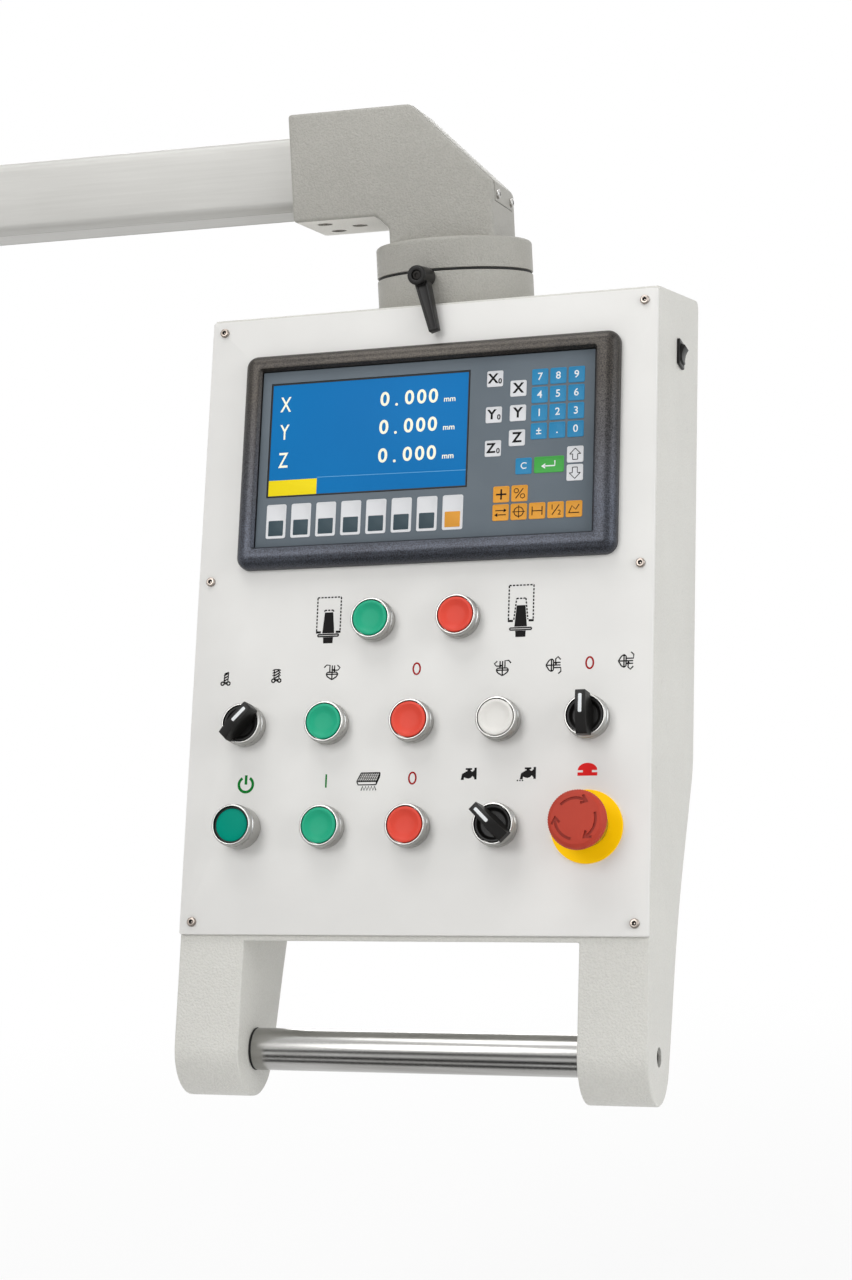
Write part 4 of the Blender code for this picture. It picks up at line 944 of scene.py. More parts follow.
keyForm = {"corner": 1.1, "high": 0.3, "dip": 0.12, "edge": 0.12, "rim": 0.55, "slope": 0.2, "markUp": 0.2}
keys = {
    "pitch": 12.7, "size": 11.3, "digitsFrom": (82.8, 61.4), "digits": ("789", "456", "123", "±.0"),
    "zero": (("X", 51.2, 60.6), ("Y", 51.0, 86.1), ("Z", 51.1, 109.8)),
    "zeroOff": (-1.4, 0), "noughtOff": (3.6, 1.9),
    "axis": (("X", 67.8, 68.5), ("Y", 67.9, 85.9), ("Z", 67.7, 103.3)),
    "arrows": ((108.4, 117.2, 1), (108.4, 129.8, -1)),
    "arrow": ((-1.7, -3.6), (1.7, -3.6), (1.7, 0.2), (3.8, 0.2), (0, 4.2), (-3.8, 0.2), (-1.7, 0.2)),
    "arrowLine": 0.5, "clear": (72.9, 123.3), "enter": (90.5, 123.2, 20.6),
    "enterSign": ((0.9, (4, 2.6), (4, -1), (-3.4, -1)), (0, (-5.4, -1), (-2.6, 0.9), (-2.6, -2.9))),
    "orange": ((57.9, 142.2), (70.6, 142.1), (57.8, 154.8), (70.4, 154.8), (83.1, 154.8), (95.8, 154.8),
               (108.4, 154.8)),
    "half": 5, "halfMarks": (("1", -2.4, -1.8), ("2", 2.6, 2)),
}
orangeSigns = (
    ((1.1, (-3.6, 0), (3.6, 0)), (1.1, (0, -3.6), (0, 3.6))),
    ((0.6, (-2.6, -3.4), (2.6, 3.4)), (0.5, *arc(1.5, 0, 360, 16, (2.2, -1.9))),
     (0.5, *arc(1.5, 0, 360, 16, (-2.2, 1.9)))),
    ((0.6, (-3.6, 1.4), (3.6, 1.4)), (0, (2.2, 2.8), (4.2, 1.4), (2.2, 0)),
     (0.6, (-3.6, -1.6), (3.6, -1.6)), (0, (-2.2, -0.2), (-4.2, -1.6), (-2.2, -3))),
    ((0.6, *arc(3.2, 0, 360, 28)), (0.5, (-4.4, 0), (4.4, 0)), (0.5, (0, -4.4), (0, 4.4))),
    ((0.6, (-3.4, -3), (-3.4, 3)), (0.6, (3.4, -3), (3.4, 3)), (0.6, (-3.4, 0), (3.4, 0))),
    ((0.6, (-2.4, -3.4), (2.4, 3.4)),),
    ((0.6, (-3.6, -2.6), (3.6, -2.6)), (0.6, (-3.6, -2.6), (-1.4, 2.2), (1.2, -0.4), (3.4, 3))),
)
# size and boldness of the letters and numbers
keyMarks = {"clear": (6.4, 0.06), "digit": (7.2, 0.08), "zero": (9.4, 0.26), "nought": (5.0, 0.14),
            "axis": (9.8, 0.28), "half": (4.8, 0.03)}


def keyPlate(wide, tall, corner=keyForm["corner"], high=keyForm["high"], dip=keyForm["dip"]):
    # a membrane key: a raised field with a faint rim round a slightly sunk middle
    made = plate(-wide / 2, -tall / 2, wide / 2, tall / 2, corner, 0, high, keyForm["edge"])
    edit(made)
    pick("FACE", lambda f: f.normal.z > 0.99 and f.calc_center_median().z > high - slack)
    bpy.ops.mesh.inset(thickness=keyForm["rim"])
    bpy.ops.mesh.inset(thickness=keyForm["slope"], depth=-dip)
    return done()


def makeKeys():
    face, size, pitch = readout["face"], keys["size"], keys["pitch"]
    top = face + keyForm["markUp"]
    white, black = [], []

    def keyRow(spots, name, look, wide=size):
        places = [onPanel(across, down, face) for across, down in spots]
        keep(spread(keyPlate(wide, size), places), name, look, "readout_sheet")

    def marked(inks, kind, text, across, down, off=(0, 0)):
        inks.append(label(text, onPanel(across + off[0], down + off[1], top), *keyMarks[kind]))

    spots = [keys["clear"]]
    marked(white, "clear", "C", *keys["clear"])
    firstAcross, firstDown = keys["digitsFrom"]
    for row, line in enumerate(keys["digits"]):
        for column, digit in enumerate(line):
            spots.append((firstAcross + column * pitch, firstDown + row * pitch))
            marked(white, "digit", digit, *spots[-1])
    keyRow(spots, "digitKeys", "keyBlue")
    spots = []
    for letter, *here in keys["zero"]:
        spots.append(here)
        marked(black, "zero", letter, *here, keys["zeroOff"])
        marked(black, "nought", "0", *here, keys["noughtOff"])
    for letter, *here in keys["axis"]:
        spots.append(here)
        marked(black, "axis", letter, *here)
    for *here, way in keys["arrows"]:
        spots.append(here)
        arrow = [(x, y * way) for x, y in keys["arrow"]]
        black.append(inked(outlined(arrow, keys["arrowLine"]), onPanel(*here, top)))
    keyRow(spots, "axisKeys", "keyGrey")
    *here, wide = keys["enter"]
    keyRow([here], "enterKey", "keyGreen", wide)
    white.append(inked(keys["enterSign"], onPanel(*here, top)))
    keyRow(keys["orange"], "functionKeys", "keyOrange")
    for here, sign in zip(keys["orange"], orangeSigns):
        black.append(inked(sign, onPanel(*here, top)))
    for number, *off in keys["halfMarks"]:
        marked(black, "half", number, *keys["orange"][keys["half"]], off)
    keep(joined(white), "keyMarksWhite", "inkWhite", "readout_sheet")
    keep(joined(black), "keyMarksBlack", "inkBlack", "readout_sheet")


softKeys = {"from": -103.4, "pitch": 18.22, "down": 152.8, "count": 8, "form": (14.4, 24.2, 1.4, 0.34, 0.1),
            "well": (-5.4, -5.4, 5.4, 5.4, 0.6, 0, 0.2, 0.06), "wellDown": 157.6, "wellUp": 0.2}


def makeSoftKeys():
    face = readout["face"]
    columns = [softKeys["from"] + index * softKeys["pitch"] for index in range(softKeys["count"])]
    fields = spread(keyPlate(*softKeys["form"]), [onPanel(x, softKeys["down"], face) for x in columns])
    keep(fields, "softKeys", "keyGrey", "readout_sheet")
    wells = [onPanel(x, softKeys["wellDown"], face + softKeys["wellUp"]) for x in columns]
    well = plate(*softKeys["well"])
    last = copyTo(well, wells[-1])
    keep(spread(well, wells[:-1]), "softKeyWells", "keyDark", "readout_sheet")
    keep(last, "softKeyWellLast", "keyOrange", "readout_sheet")


screen = {"letters": (("X", 69), ("Y", 89.1), ("Z", 109.4)), "lettersAt": -100.6, "letter": (15.4, 0.12, 0.7),
          "digits": (-27.6, -9.8, -1.0, 7.4), "digit": (13.8, 0.28), "digitDrop": 0.8,
          "dot": (-19.0, 4.7), "dotRadius": 1.0, "unitAt": (19.2, 3.4), "unit": (5.6, 0.08), "inkUp": 0.02,
          "tab": (-110.5, -134.3, -75, -123.2), "tabCorner": 0.2, "tabEdge": 0.02,
          "rule": (0.5, (-75, -122.4), (32.3, -123.4))}


def makeScreen():
    out = readout["glass"] + screen["inkUp"]
    (dotAcross, dotDown), (unitAcross, unitDown) = screen["dot"], screen["unitAt"]
    dot = [(0, *arc(screen["dotRadius"], 0, 360, 20)[:-1])]
    marks = []
    for letter, down in screen["letters"]:
        marks.append(label(letter, onPanel(screen["lettersAt"], down, out), *screen["letter"]))
        for across in screen["digits"]:
            marks.append(label("0", onPanel(across, down + screen["digitDrop"], out), *screen["digit"]))
        marks.append(inked(dot, onPanel(dotAcross, down + dotDown, out)))
        marks.append(label("mm", onPanel(unitAcross, down + unitDown, out), *screen["unit"]))
    keep(joined(marks), "screenMarks", "screenInk", "screen_blue")
    tab = plate(*screen["tab"], screen["tabCorner"], out, out + inkThick, screen["tabEdge"])
    keep(place(tab, panelAt), "screenTab", "screenTab", "screen_blue")
    keep(inked([screen["rule"]], onPanel(0, 0, out)), "screenRule", "screenRule", "screen_blue")


makeReadoutFrame()
makeMembrane()
makeKeys()
makeSoftKeys()
makeScreen()
print("readout assembled")

# Buttons: a turned chrome bezel and a dished cap that slides in it. The rim and the notch of a bezel
# are measured from its top, all else from the plate. Dishes and domes hold middle, drop and width
device = {"tall": 12, "lampTall": 19, "steps": 96, "rounds": 4,
          "rim": ((12.6, 0, 0.25), (14, 0, 0.9), (14, -4.2, 0.1), (14.5, -4.8, 0.2)),
          "foot": ((14.5, 2.5, 0.2), (14, 1.9, 0.1), (14, 0.3, 0.1), (10.9, 0.3)),
          "nut": ((10.9, -3.3), (14, -3.3), (14, -12)), "bore": ((8.5, -12), (8.5, 4), (12.6, 4)),
          "notches": 18, "notch": ((14.15, -0.4, -6.4), (15.5, 0.4, -4.9))}
cap = {"rounds": 6, "dish": (10.7, -0.42, 7.6), "dishAt": (0, 2.66, 5.32, 7.6),
       "rim": ((10, 12.8, 1.6), (11.95, 12.8, 0.9), (11.95, 8.8)), "plunger": ((6, 8.8), (6, -6), (0, -6))}
lens = {"dome": (18.1, 0.5, 11.1), "domeAt": (0, 3, 6, 8.4),
        "rim": ((11.1, 17.5, 0.5), (11.1, 16.5, 0.2), (12.3, 16.5, 0.2), (12.3, 8.8)),
        "shadeRing": (96, 2, (11.2, 17.2, 0.1), (12.2, 17.2, 0.1), (12.2, 16.7), (11.2, 16.7))}


def bowl(middle, drop, wide, radii):
    return [(radius, middle - drop * (radius / wide) ** 2) for radius in radii]


def makeBezel(tall):
    rim = [(radius, tall + height, edge) for radius, height, edge in device["rim"]]
    outline = (*rim, *device["foot"], *device["nut"], *device["bore"])
    bezel = ringed(device["steps"], device["rounds"], *outline)
    low, high = ((x, y, tall + height) for x, y, height in device["notch"])
    marks = [turn(360 * index / device["notches"], "Z") for index in range(device["notches"])]
    return cut(bezel, spread(block(low, high), marks))


def makeCap():
    outline = (*bowl(*cap["dish"], cap["dishAt"]), *cap["rim"], *cap["plunger"])
    return turned(device["steps"], cap["rounds"], *outline)


def makeLens():
    outline = (*bowl(*lens["dome"], lens["domeAt"]), *lens["rim"], *cap["plunger"])
    return turned(device["steps"], device["rounds"], *outline)


def makeButtons():
    bezel, capModel = makeBezel(device["tall"]), makeCap()
    for name, (column, row, look) in buttons.items():
        at = onPanel(*deviceSpot(column, row))
        body = "cap_" + name
        if look == "lensTeal":
            ring = place(makeBezel(device["lampTall"]), at)
            face = place(makeLens(), at)
            # a black ring in the gap between the chrome rim and the lens: painted shade of the gap
            shadeRing = place(ringed(*lens["shadeRing"]), at)
            keep(shadeRing, "lensShadeRing", "blackPlastic", "plastic_black", body=body)
        else:
            ring = copyTo(bezel, at)
            face = copyTo(capModel, at)
        keep(ring, "bezelRing_" + name, "chrome", "chrome", "bezel_" + name)
        keep(face, "capFace_" + name, look, capSlots[look], body, body=body)
    bpy.data.objects.remove(capModel, do_unlink=True)
    return bezel


# Selector knob: a disc with a blade, cut from its section, its side and its plan
knob = {"disc": (96, 4, (0, 9.6), (8.8, 9.6, 1.4), (10.5, 11.5, 0.5), (12.1, 11.7, 0.5), (12.1, 4.3),
                 (6, 4.3), (6, -6), (0, -6)),
        "low": 8.6, "high": 25, "foot": 5.4, "crest": 3.3, "flank": 6, "halfLong": 16, "halfWide": 9,
        "spare": 2, "rounds": 5,
        "side": ((-13.6, 8.6), (14.5, 8.6), (14.5, 25, 1.8), (-1.5, 25, 26), (-13.6, 19.4, 1.4)),
        "plan": ((-5.4, -13.6, 1.5), (5.4, -13.6, 1.5), (5.4, 1, 6), (3.4, 14.5, 1), (-3.4, 14.5, 1),
                 (-5.4, 1, 6)),
        "edge": (0.45, 2, 40), "clear": (96, 1, (12.1, 12.4), (20, 12.4), (20, 6.6), (12.1, 6.6)),
        "line": (-1.15, -0.6, 1.15, 11.6, 0.8, 24.7, 25.05, 0.05)}


def makeKnob():
    disc = turned(*knob["disc"])
    low, high, foot, steps = knob["low"], knob["high"], knob["foot"], knob["flank"]
    halfLong, halfWide, spare = knob["halfLong"], knob["halfWide"], knob["spare"]
    lean = foot - knob["crest"]
    flank = [(foot - lean * math.sin(math.radians(90 * step / steps)), low + (high - low) * step / steps)
             for step in range(steps + 1)]
    section = [(-x, z) for x, z in flank] + flank[::-1]
    side, plan = (eased(knob[view], knob["rounds"]) for view in ("side", "plan"))
    grip = place(slab(section, -halfLong, halfLong), standUp)
    cut(grip, place(slab(side, -halfWide, halfWide), alongX), "INTERSECT")
    cut(grip, slab(plan, low - spare, high + spare), "INTERSECT")
    soften(grip, *knob["edge"])
    cut(grip, ringed(*knob["clear"]))
    return mended(cut(disc, grip, "UNION"))


def makeSelectors(bezel):
    model, line = makeKnob(), plate(*knob["line"])
    for name, (column, row, pointing) in selectors.items():
        at = onPanel(*deviceSpot(column, row))
        aim = at @ turn(pointing, "Z")
        body = "knob_selector_" + name
        keep(copyTo(bezel, at), "bezelRing_selector_" + name, "chrome", "chrome", "bezel_selector_" + name)
        keep(copyTo(model, aim), "knobGrip_" + name, "blackPlastic", "plastic_black", body, body=body)
        keep(copyTo(line, aim), "pointer_" + name, "inkWhite", "plastic_black", body=body)
    for used in (bezel, model, line):
        bpy.data.objects.remove(used, do_unlink=True)


makeSelectors(makeButtons())
print("buttons and selectors seated")

# Emergency stop: mushroom head with a knurled rim and three sunk arrows whose grooves hold a darker red of
# painted shade, over a yellow disc with a faint painted glow
stop = {"plate": (128, 3, (12.6, 1.5), (24, 1.5, 0.4), (24, 0.3), (12.6, 0.3)), "plateDrop": 1.0,
        "collar": (96, 3, (8.5, 10, 0.3), (14.5, 10, 0.9), (14.5, 1.8, 0.2), (10.9, 1.8)),
        "sleeveEnd": (8.5, -12), "stem": (64, 3, (0, 23.7), (8, 23.7, 0.5), (8, -6), (0, -6)),
        "dome": (30, 0.4, 15.5), "domeAt": (0, 5, 10, 13), "rounds": 6,
        "head": ((16.4, 29.5, 0.5), (18.3, 27.9, 0.8), (19.4, 25.6, 0.8), (19.4, 23.6, 0.4), (18.1, 23, 0.3),
                 (12.8, 16, 0.6), (8.3, 16), (8.3, 24), (0, 24)),
        "teeth": 72, "tooth": 0.982, "toothFrom": 19.2, "arrowTurns": (8, 128, 248), "arrow": 13.2,
        "arrowWide": 1.8, "arrowSpan": 80, "arrowSteps": 16, "barb": 2.7, "barbBack": 15, "point": 3,
        "groove": (28.7, 31), "grooveShade": (28.5, 28.82)}


def stopArrow(low, high):
    # a curved shaft with an open head
    wide, reach, half = stop["arrowWide"], stop["arrow"], stop["arrowWide"] / 2
    tail, tip = 90 + stop["arrowSpan"] / 2, 90 - stop["arrowSpan"] / 2
    steps = stop["arrowSteps"]
    shaft = slab(arc(reach + half, tail, tip, steps) + arc(reach - half, tip, tail, steps), low, high)
    turns = ((stop["barb"], stop["barbBack"]), (0, -stop["point"]), (-stop["barb"], stop["barbBack"]))
    head = [arc(reach + out, tip + back, tip + back, 1)[0] for out, back in turns]
    return cut(shaft, slab(stroke(head, wide), low, high), "UNION")


def makeStop():
    at = onPanel(*deviceSpot(*stopSpot))
    disc = place(ringed(*stop["plate"]), at @ shift(0, -stop["plateDrop"], 0))
    keep(disc, "stopPlate", "stopYellowPaintedGlow", "stop_yellow", "stop_plate")
    collar = ringed(*stop["collar"], *device["nut"], stop["sleeveEnd"])
    keep(place(collar, at), "stopCollar", "chrome", "chrome", "stop_collar")
    stem = place(turned(*stop["stem"]), at)
    keep(stem, "stopStem", "screwSteel", "steel", "stop_stem", body="stop_stem")
    outline = (*bowl(*stop["dome"], stop["domeAt"]), *stop["head"])
    head = turned(2 * stop["teeth"], stop["rounds"], *outline)
    edit(head)
    column = math.pi / stop["teeth"]

    def tooth(vertex):
        x, y = vertex.co.xy
        return math.hypot(x, y) > stop["toothFrom"] and round(math.atan2(y, x) / column) % 2

    pick("VERT", tooth)
    bpy.ops.transform.resize(value=(stop["tooth"], stop["tooth"], 1), center_override=(0, 0, 0))
    done()
    thirds = [turn(angle, "Z") for angle in stop["arrowTurns"]]
    cut(head, spread(stopArrow(*stop["groove"]), thirds))
    # a darker red floor in each arrow's groove: painted shade
    grooveShade = place(spread(stopArrow(*stop["grooveShade"]), thirds), at)
    keep(grooveShade, "stopArrows", "stopRedDark", "stop_red", body="stop_head")
    keep(place(head, at), "stopHead", "stopRed", "stop_red", "stop_head", body="stop_head")


makeStop()
print("stop button seated")

# Rocker switch on the right wall: its own X points out of the wall
rocker = {"at": (161.7, 26.2, -66.5), "tall": 9.2, "wide": 8, "corner": 1.2, "ease": 0.5, "gap": 0.3,
          "face": 2.1, "border": 1.6, "well": 2.4, "body": 16, "pocket": 7, "spareTall": 0.6,
          "spareWide": 0.3, "peak": 4.6, "peakRound": 0.8, "dip": 2.3, "dipRound": 14, "nose": 0.5,
          "belly": 3.5, "bellyHalf": 3, "rounds": 5, "edge": (0.4, 2, 60), "tilt": -12}


def makeRocker():
    at, gap, face = onPanel(*rocker["at"]), rocker["gap"], rocker["face"]
    tall, wide, belly, bellyHalf = rocker["tall"], rocker["wide"], rocker["belly"], rocker["bellyHalf"]
    bezel = place(plate(-wide, -tall, wide, tall, rocker["corner"], gap, face, rocker["ease"]), outward)
    inTall, inWide = tall - rocker["border"], wide - rocker["border"]
    cut(bezel, block((-rocker["body"], -inTall, -inWide), (face / 2, inTall, inWide)), "UNION")
    inTall, inWide = tall - rocker["well"], wide - rocker["well"]
    cut(bezel, block((face - rocker["pocket"], -inTall, -inWide), (3 * face, inTall, inWide)))
    keep(place(bezel, at), "rockerFrame", "blackPlastic", "plastic_black", "rocker_frame")
    end, half = inTall - rocker["spareTall"], inWide - rocker["spareWide"]
    nose, peak = end - rocker["nose"], (rocker["peak"], rocker["peakRound"])
    outline = [(peak[0], nose, peak[1]), (rocker["dip"], 0, rocker["dipRound"]), (peak[0], -nose, peak[1]),
               (0, -end), (-belly, -bellyHalf), (-belly, bellyHalf), (0, end)]
    paddle = slab(eased(outline, rocker["rounds"]), -half, half)
    soften(paddle, *rocker["edge"])
    place(paddle, at @ turn(rocker["tilt"], "Z"))
    keep(paddle, "rockerPaddle", "blackPlastic", "plastic_black", "rocker_paddle", body="rocker_paddle")


makeRocker()
print("rocker fitted")

# Signs on the plate: plain outlines, a little proud like screen print
signs = {"out": 0.01, "line": 0.95, "medium": 0.855, "fine": 0.76, "hair": 0.4, "bold": 1.9, "gap": 0.8,
         "off": ((0.6, 258.1), (119.6, 257.7), (0.4, 332)), "on": (-60.5, 333), "power": (-118.4, 334.6),
         "stop": (119.6, 328.3), "clamp": ((-63.8, 206.5, 0), (72, 203.6, 3.2)), "tray": (-31, 333.4),
         "tap": ((39.6, 330.2, 0), (79.9, 330.4, 3)), "drill": ((-137.4, 261, 0), (-100, 260, 1)),
         "spindle": ((-59.7, 258.4, -1, 0), (60.3, 259.2, 1, 0), (95.5, 258.6, 1, -90),
                     (144.2, 257.3, -1, -90))}


def dashes(points, dash, width):
    # a broken line along straight runs
    lines = []
    for first, second in zip(points, points[1:]):
        first, second = Vector(first), Vector(second)
        length = (second - first).length
        along = (second - first) / length
        reach = 0
        while reach < length:
            lines.append((width, first + along * reach, first + along * min(reach + dash, length)))
            reach += dash + signs["gap"]
    return lines


def clampSign(drop):
    # a tapered shank in its holder, seen from the side
    line = signs["line"]
    tool = (((-3.0, -10.5), (3.0, -10.5), (4.3, -25), (-4.3, -25)),
            ((-3.6, -27.8), (3.6, -27.8), (3.4, -32), (-3.4, -32)),
            ((-7.4, -25.8), (7.4, -25.8), (7.4, -27.2), (-7.4, -27.2)))
    shank, foot, flange = ([(x, y - drop) for x, y in outline] for outline in tool)
    strokes = [(0, *shank), (0, *foot), *outlined(flange, line)]
    strokes += dashes([(-8.5, -23.4), (-8.5, 0), (8.5, 0), (8.5, -23.4)], 1.6, line)
    strokes += [(1.5, (side * 8.9, -24.2), (side * 5.4, -24.2)) for side in (-1, 1)]
    inner = [(-3.2, -10), (-3, -9), (3, -9), (3.2, -10)]
    if drop:
        inner = [(-4.8, -23.4), (-3.2, -9), (3.2, -9), (4.8, -23.4)]
    return strokes + dashes(inner, 1.5, line)


def drillSign(turns):
    # a twisted tool over two round feet
    line = signs["line"]
    tool = [(-1.2, -2.4), (1.6, -2.4), (1.9, 4.6), (-0.8, 3.6)]
    if turns:
        tool = [(-1.8, -2.4), (1.8, -2.4), (1.8, 4.4), (-1.8, 4.4)]
    strokes = outlined(tool, signs["fine"])
    strokes += [(line, (-1.4, y), (1.4, y + 1.6)) for y in (-1.7, 0.2, 2.1)]
    for side in (-1, 1):
        strokes.append((line, *arc(1.15, 0, 360, 14, (side * 2.2, -3.3))))
        if turns:
            strokes += [(0.55, *arc(0.7, 90 - 100 * side, 90 + 100 * side, 6, (side * 2.1, y)))
                        for y in (0, 1.8, 3.6)]
    return strokes + [(line, (-1.4, -3.4), (1.4, -3.4))]


def spindleSign(side):
    # a spindle nose with its axis lines, and a bent arrow each side
    line = signs["medium"]
    nose = [(-3.2, -0.3), (3.2, -0.3), (4.2, -1.6), (3.2, -3.4), (0, -5.4), (-3.2, -3.4), (-4.2, -1.6)]
    strokes = outlined(nose, line) + [(line, (-4.2, -1.7), (4.2, -1.7)), (line, (0, -5.2), (0, 4.4))]
    sided = ((line, (-1.7, -0.3), (-1.7, 4.4)),
             (line, (1.7, -0.3), (1.7, 4.6), (4.2, 4.8), (5.8, 3)),
             (line, (-1.7, 1.1), (-4.2, 1.1), (-5.6, 2.7), (-3.6, 4.5)),
             (0, (-1.9, 2.4), (0.4, 1.3), (-1.9, 0.2)))
    return strokes + [(width, *((x * side, y) for x, y in points)) for width, *points in sided]


def tapSign(drops):
    # a tap with a cross handle and its wall flange
    body = ((-5.6, -3.6), (-3.6, -3.6), (-3.4, -1.8), (-2.2, -2.4), (-0.4, -2.8), (1.4, -2.2), (2.4, -1),
            (3.6, -2.4), (3.6, -3.4), (5.2, -3.4), (5.2, 4.4), (3.6, 4.4), (3.6, 3), (2.4, 1.8), (1, 2.4),
            (1, 3), (2, 3), (2, 4.2), (-2.4, 4.2), (-2.4, 3), (-1.2, 3), (-1.2, 2.3), (-2.6, 1.6),
            (-4.8, 0.4))
    falling = [-7.6 + index * 1.7 for index in range(drops)]
    return [(0, *body)] + [(0, (x, -4.8), (x + 0.9, -4.8), (x + 0.9, -3.9), (x, -3.9)) for x in falling]


def traySign():
    # a hatched block over a zigzag
    line, hair = signs["fine"], signs["hair"]
    top = [(-7.6, -0.4), (-4.6, 5.4), (8.6, 5.4), (6.4, -0.4)]
    front = [(-7.6, -0.4), (6.4, -0.4), (6, -2.6), (-6.6, -2.6)]
    side = [(6.4, -0.4), (8.6, 5.4), (8.4, 2.8), (6, -2.6)]
    strokes = outlined(top, line) + outlined(front, line) + outlined(side, line)
    strokes += [(hair, (-7.2 + 0.55 * k, 0.4 + 1.05 * k), (6.6 + 0.4 * k, 0.4 + 1.05 * k)) for k in range(5)]
    strokes += [(hair, (-6 + 1.5 * k, -0.4), (-3.4 + 1.5 * k, 5.4)) for k in range(8)]
    return strokes + [(line, *((-4.4 + 1.05 * k, -3.6 if k % 2 else -6.4) for k in range(11)))]


def makeSigns():
    out, bold = signs["out"], signs["bold"]

    def printed(strokes, here, lean=0):
        return inked(strokes, onPanel(*here, out) @ turn(lean, "Z"))

    black = []
    drawn = {"clamp": clampSign, "drill": drillSign, "spindle": spindleSign, "tap": tapSign}
    for kind, draw in drawn.items():
        for across, down, variant, *lean in signs[kind]:
            black.append(printed(draw(variant), (across, down), *lean))
    black.append(printed(traySign(), signs["tray"]))
    keep(joined(black), "signsBlack", "inkBlack", "panel_white")
    oval = [(x * 0.64, y) for x, y in arc(3.8, 0, 360, 40)]
    red = [printed([(1.15, *oval)], here) for here in signs["off"]]
    keep(joined(red), "signsRed", "inkRed", "panel_white")
    dome = [(x, y * 0.74 - 0.4) for x, y in arc(6.5, 0, 180, 24)]
    dome += [(-3, -0.4), (-3, -1.8), (-6.6, -1.8), (-6.6, -4), (6.6, -4), (6.6, -1.8), (3, -1.8), (3, -0.4)]
    keep(printed([(0, *dome)], signs["stop"]), "signStop", "inkBright", "panel_white")
    power = [(bold, *arc(5.1, 122, 418, 36)), (bold, (0, 0), (0, 6.4))]
    green = [printed(power, signs["power"]), printed([(1.2, (0, -4.5), (0, 4.5))], signs["on"])]
    keep(joined(green), "signsGreen", "inkGreen", "panel_white")


makeSigns()
print("signs printed")

# CAD nodes that stay in sight or inside: steel takes the finish of the screws, the rest black plastic
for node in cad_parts.values():
    if not node.hide_render:
        kept = node.data.materials[0].name.split(".")[0]
        node.data.materials[0] = looks["screwSteel" if kept == "steel" else "blackPlastic"]

# Studio: white behind, soft light from the upper left, a pale floor
studio = {"ambient": 0.36, "floorAt": (0.44, -0.05, -0.86), "floorSize": 12, "aim": (0.44, -0.05, -0.33),
          "paper": (0.86, 0.86, 0.86, 1),
          "fade": {"From Min": 0.3, "From Max": 1.5, "To Min": 0.86, "To Max": 1.0}}
lamps = {
    "keyLamp": {"at": (-0.6, -2.5, 1.1), "size": 1.4, "watts": 24.5},
    "fillLamp": {"at": (2.4, -0.7, 0.2), "size": 1.6, "watts": 18.5},
    "topLamp": {"at": (0.0, -0.5, 2.1), "size": 1.6, "watts": 21.5},
    "backLamp": {"at": (-0.4, 2.6, 0.9), "size": 1.8, "watts": 26},
}
# dark cards that only reflections see, so that bright metal has something to show
cards = {
    "cardAhead": {"low": (-3.5, -4.2, -0.85), "high": (4.5, -4.2, 0.22), "shade": 0.05},
    "cardFloorFar": {"low": (-1.2, -0.82, -0.855), "high": (2.0, -0.47, -0.855), "shade": 0.03},
    "cardFloorNear": {"low": (-1.2, -0.385, -0.855), "high": (2.0, -0.27, -0.855), "shade": 0.05},
    "cardRight": {"low": (3.2, -2.6, -0.85), "high": (3.2, -1.6, 1.6), "shade": 0.06},
    "cardCool": {"low": (3.0, -1.4, -0.85), "high": (3.0, 0.2, 1.8), "shade": 0.5,
                 "tint": (0.62, 0.86, 1.12)},
}
pureWhite = (1, 1, 1, 1)


def seenDirectly(wire):
    rays = ("Is Camera Ray", "Is Glossy Ray", "Is Transmission Ray")
    direct, glossy, through = (wire.node("LightPath", {}, {}, ray) for ray in rays)
    return wire.sum("MAXIMUM", wire.sum("MAXIMUM", direct, glossy), through)


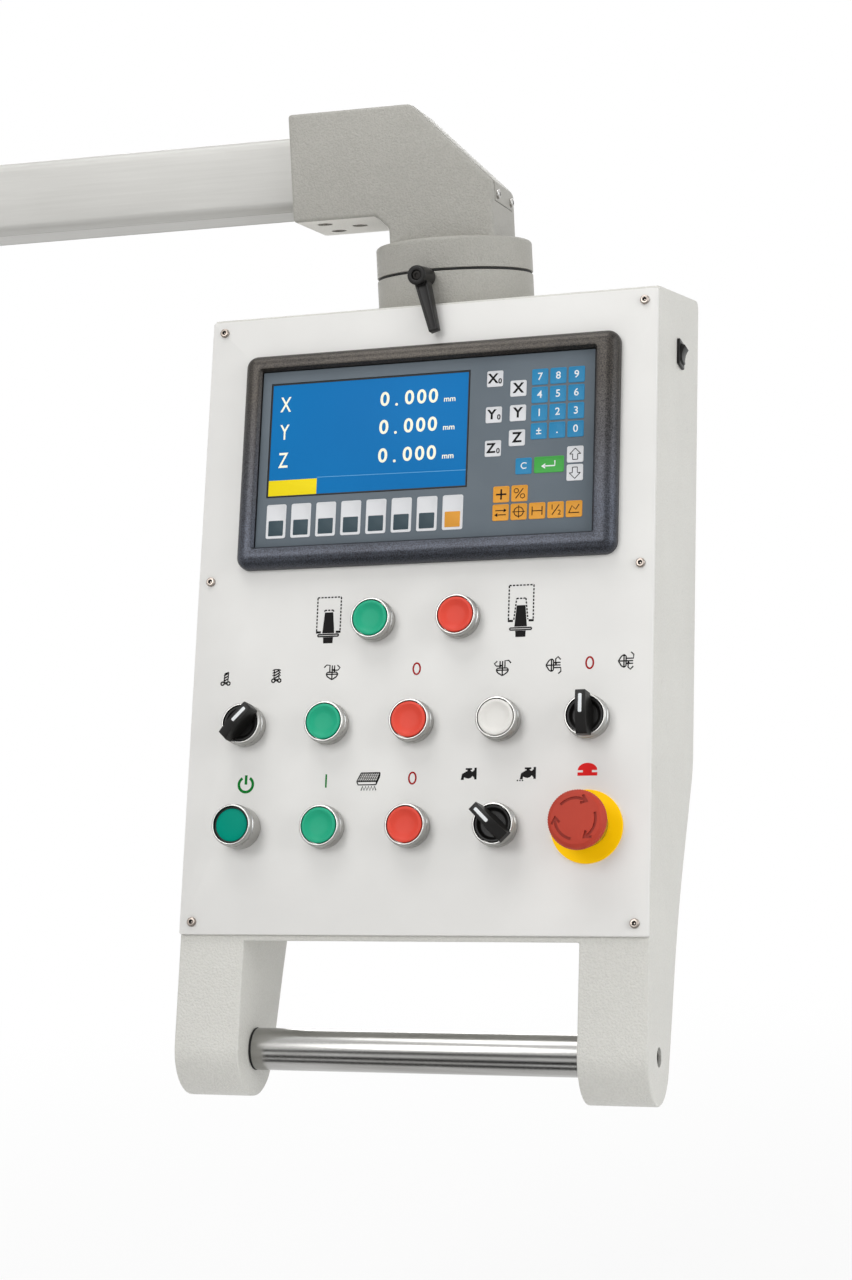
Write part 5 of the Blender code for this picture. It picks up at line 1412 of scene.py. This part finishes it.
def lightStudio():
    scene = bpy.context.scene
    scene.view_settings.view_transform = "Standard"
    world = bpy.data.worlds.new("studioWhite")
    scene.world = world
    world.use_nodes = True
    ambient, background = studio["ambient"], world.node_tree.nodes["Background"]
    background.inputs["Color"].default_value = pureWhite
    feed(background, "Strength", ambient + seenDirectly(Wire(world.node_tree)) * (1 - ambient))
    for name, lamp in lamps.items():
        letGo()
        bpy.ops.object.light_add(type="AREA", location=lamp["at"])
        light = bpy.context.object
        light.name = name
        light.data.shape = "DISK"
        light.data.size = lamp["size"]
        light.data.energy = lamp["watts"]
        aim = Vector(studio["aim"]) - Vector(lamp["at"])
        light.rotation_euler = aim.to_track_quat("-Z", "Y").to_euler()


def surfaced(piece, name, mix):
    # a material with nothing but the shader that the mix wires up
    made = bpy.data.materials.new(name)
    made.use_nodes = True
    tree = made.node_tree
    tree.nodes.remove(tree.nodes["Principled BSDF"])
    feed(tree.nodes["Material Output"], "Surface", mix(Wire(tree)))
    piece.data.materials.append(made)


def paperMix(wire):
    paper = wire.node("BsdfDiffuse", {}, {"Color": studio["paper"]})
    glow = wire.node("Emission", {}, {"Color": pureWhite, "Strength": 1.0})
    where = wire.node("TexCoord", {}, {}, "Object")
    away = wire.node("VectorMath", {"operation": "DISTANCE"}, {0: where, 1: studio["floorAt"]}, "Value")
    fade = wire.node("MapRange", {"interpolation_type": "SMOOTHSTEP"}, {"Value": away, **studio["fade"]})
    return wire.node("MixShader", {}, {0: seenDirectly(wire) * fade, 1: paper, 2: glow})


def layFloor():
    letGo()
    bpy.ops.mesh.primitive_grid_add(x_subdivisions=2, y_subdivisions=2, size=studio["floorSize"],
                                    location=studio["floorAt"])
    floor = settle()
    floor.name = "studioFloor"
    surfaced(floor, "studioPaper", paperMix)


def hangCards():
    facing = (outward, standUp, Matrix())
    for name, card in cards.items():
        letGo()
        spans = [b - a for a, b in zip(card["low"], card["high"])]
        middle = [(a + b) / 2 for a, b in zip(card["low"], card["high"])]
        bpy.ops.mesh.primitive_grid_add(x_subdivisions=2, y_subdivisions=2, size=1)
        piece = bpy.context.object
        place(piece, facing[spans.index(min(spans))])
        place(piece, Matrix.LocRotScale(middle, None, [span or 1 for span in spans]))
        piece.name = name
        piece.visible_camera = False
        piece.visible_diffuse = False
        piece.visible_shadow = False
        glow = {"Color": (*card.get("tint", pureWhite[:3]), 1), "Strength": card["shade"]}
        surfaced(piece, name, lambda wire: wire.node("Emission", {}, glow))


lightStudio()
layFloor()
hangCards()
print("studio lit")

letGo()
bpy.context.view_layer.update()
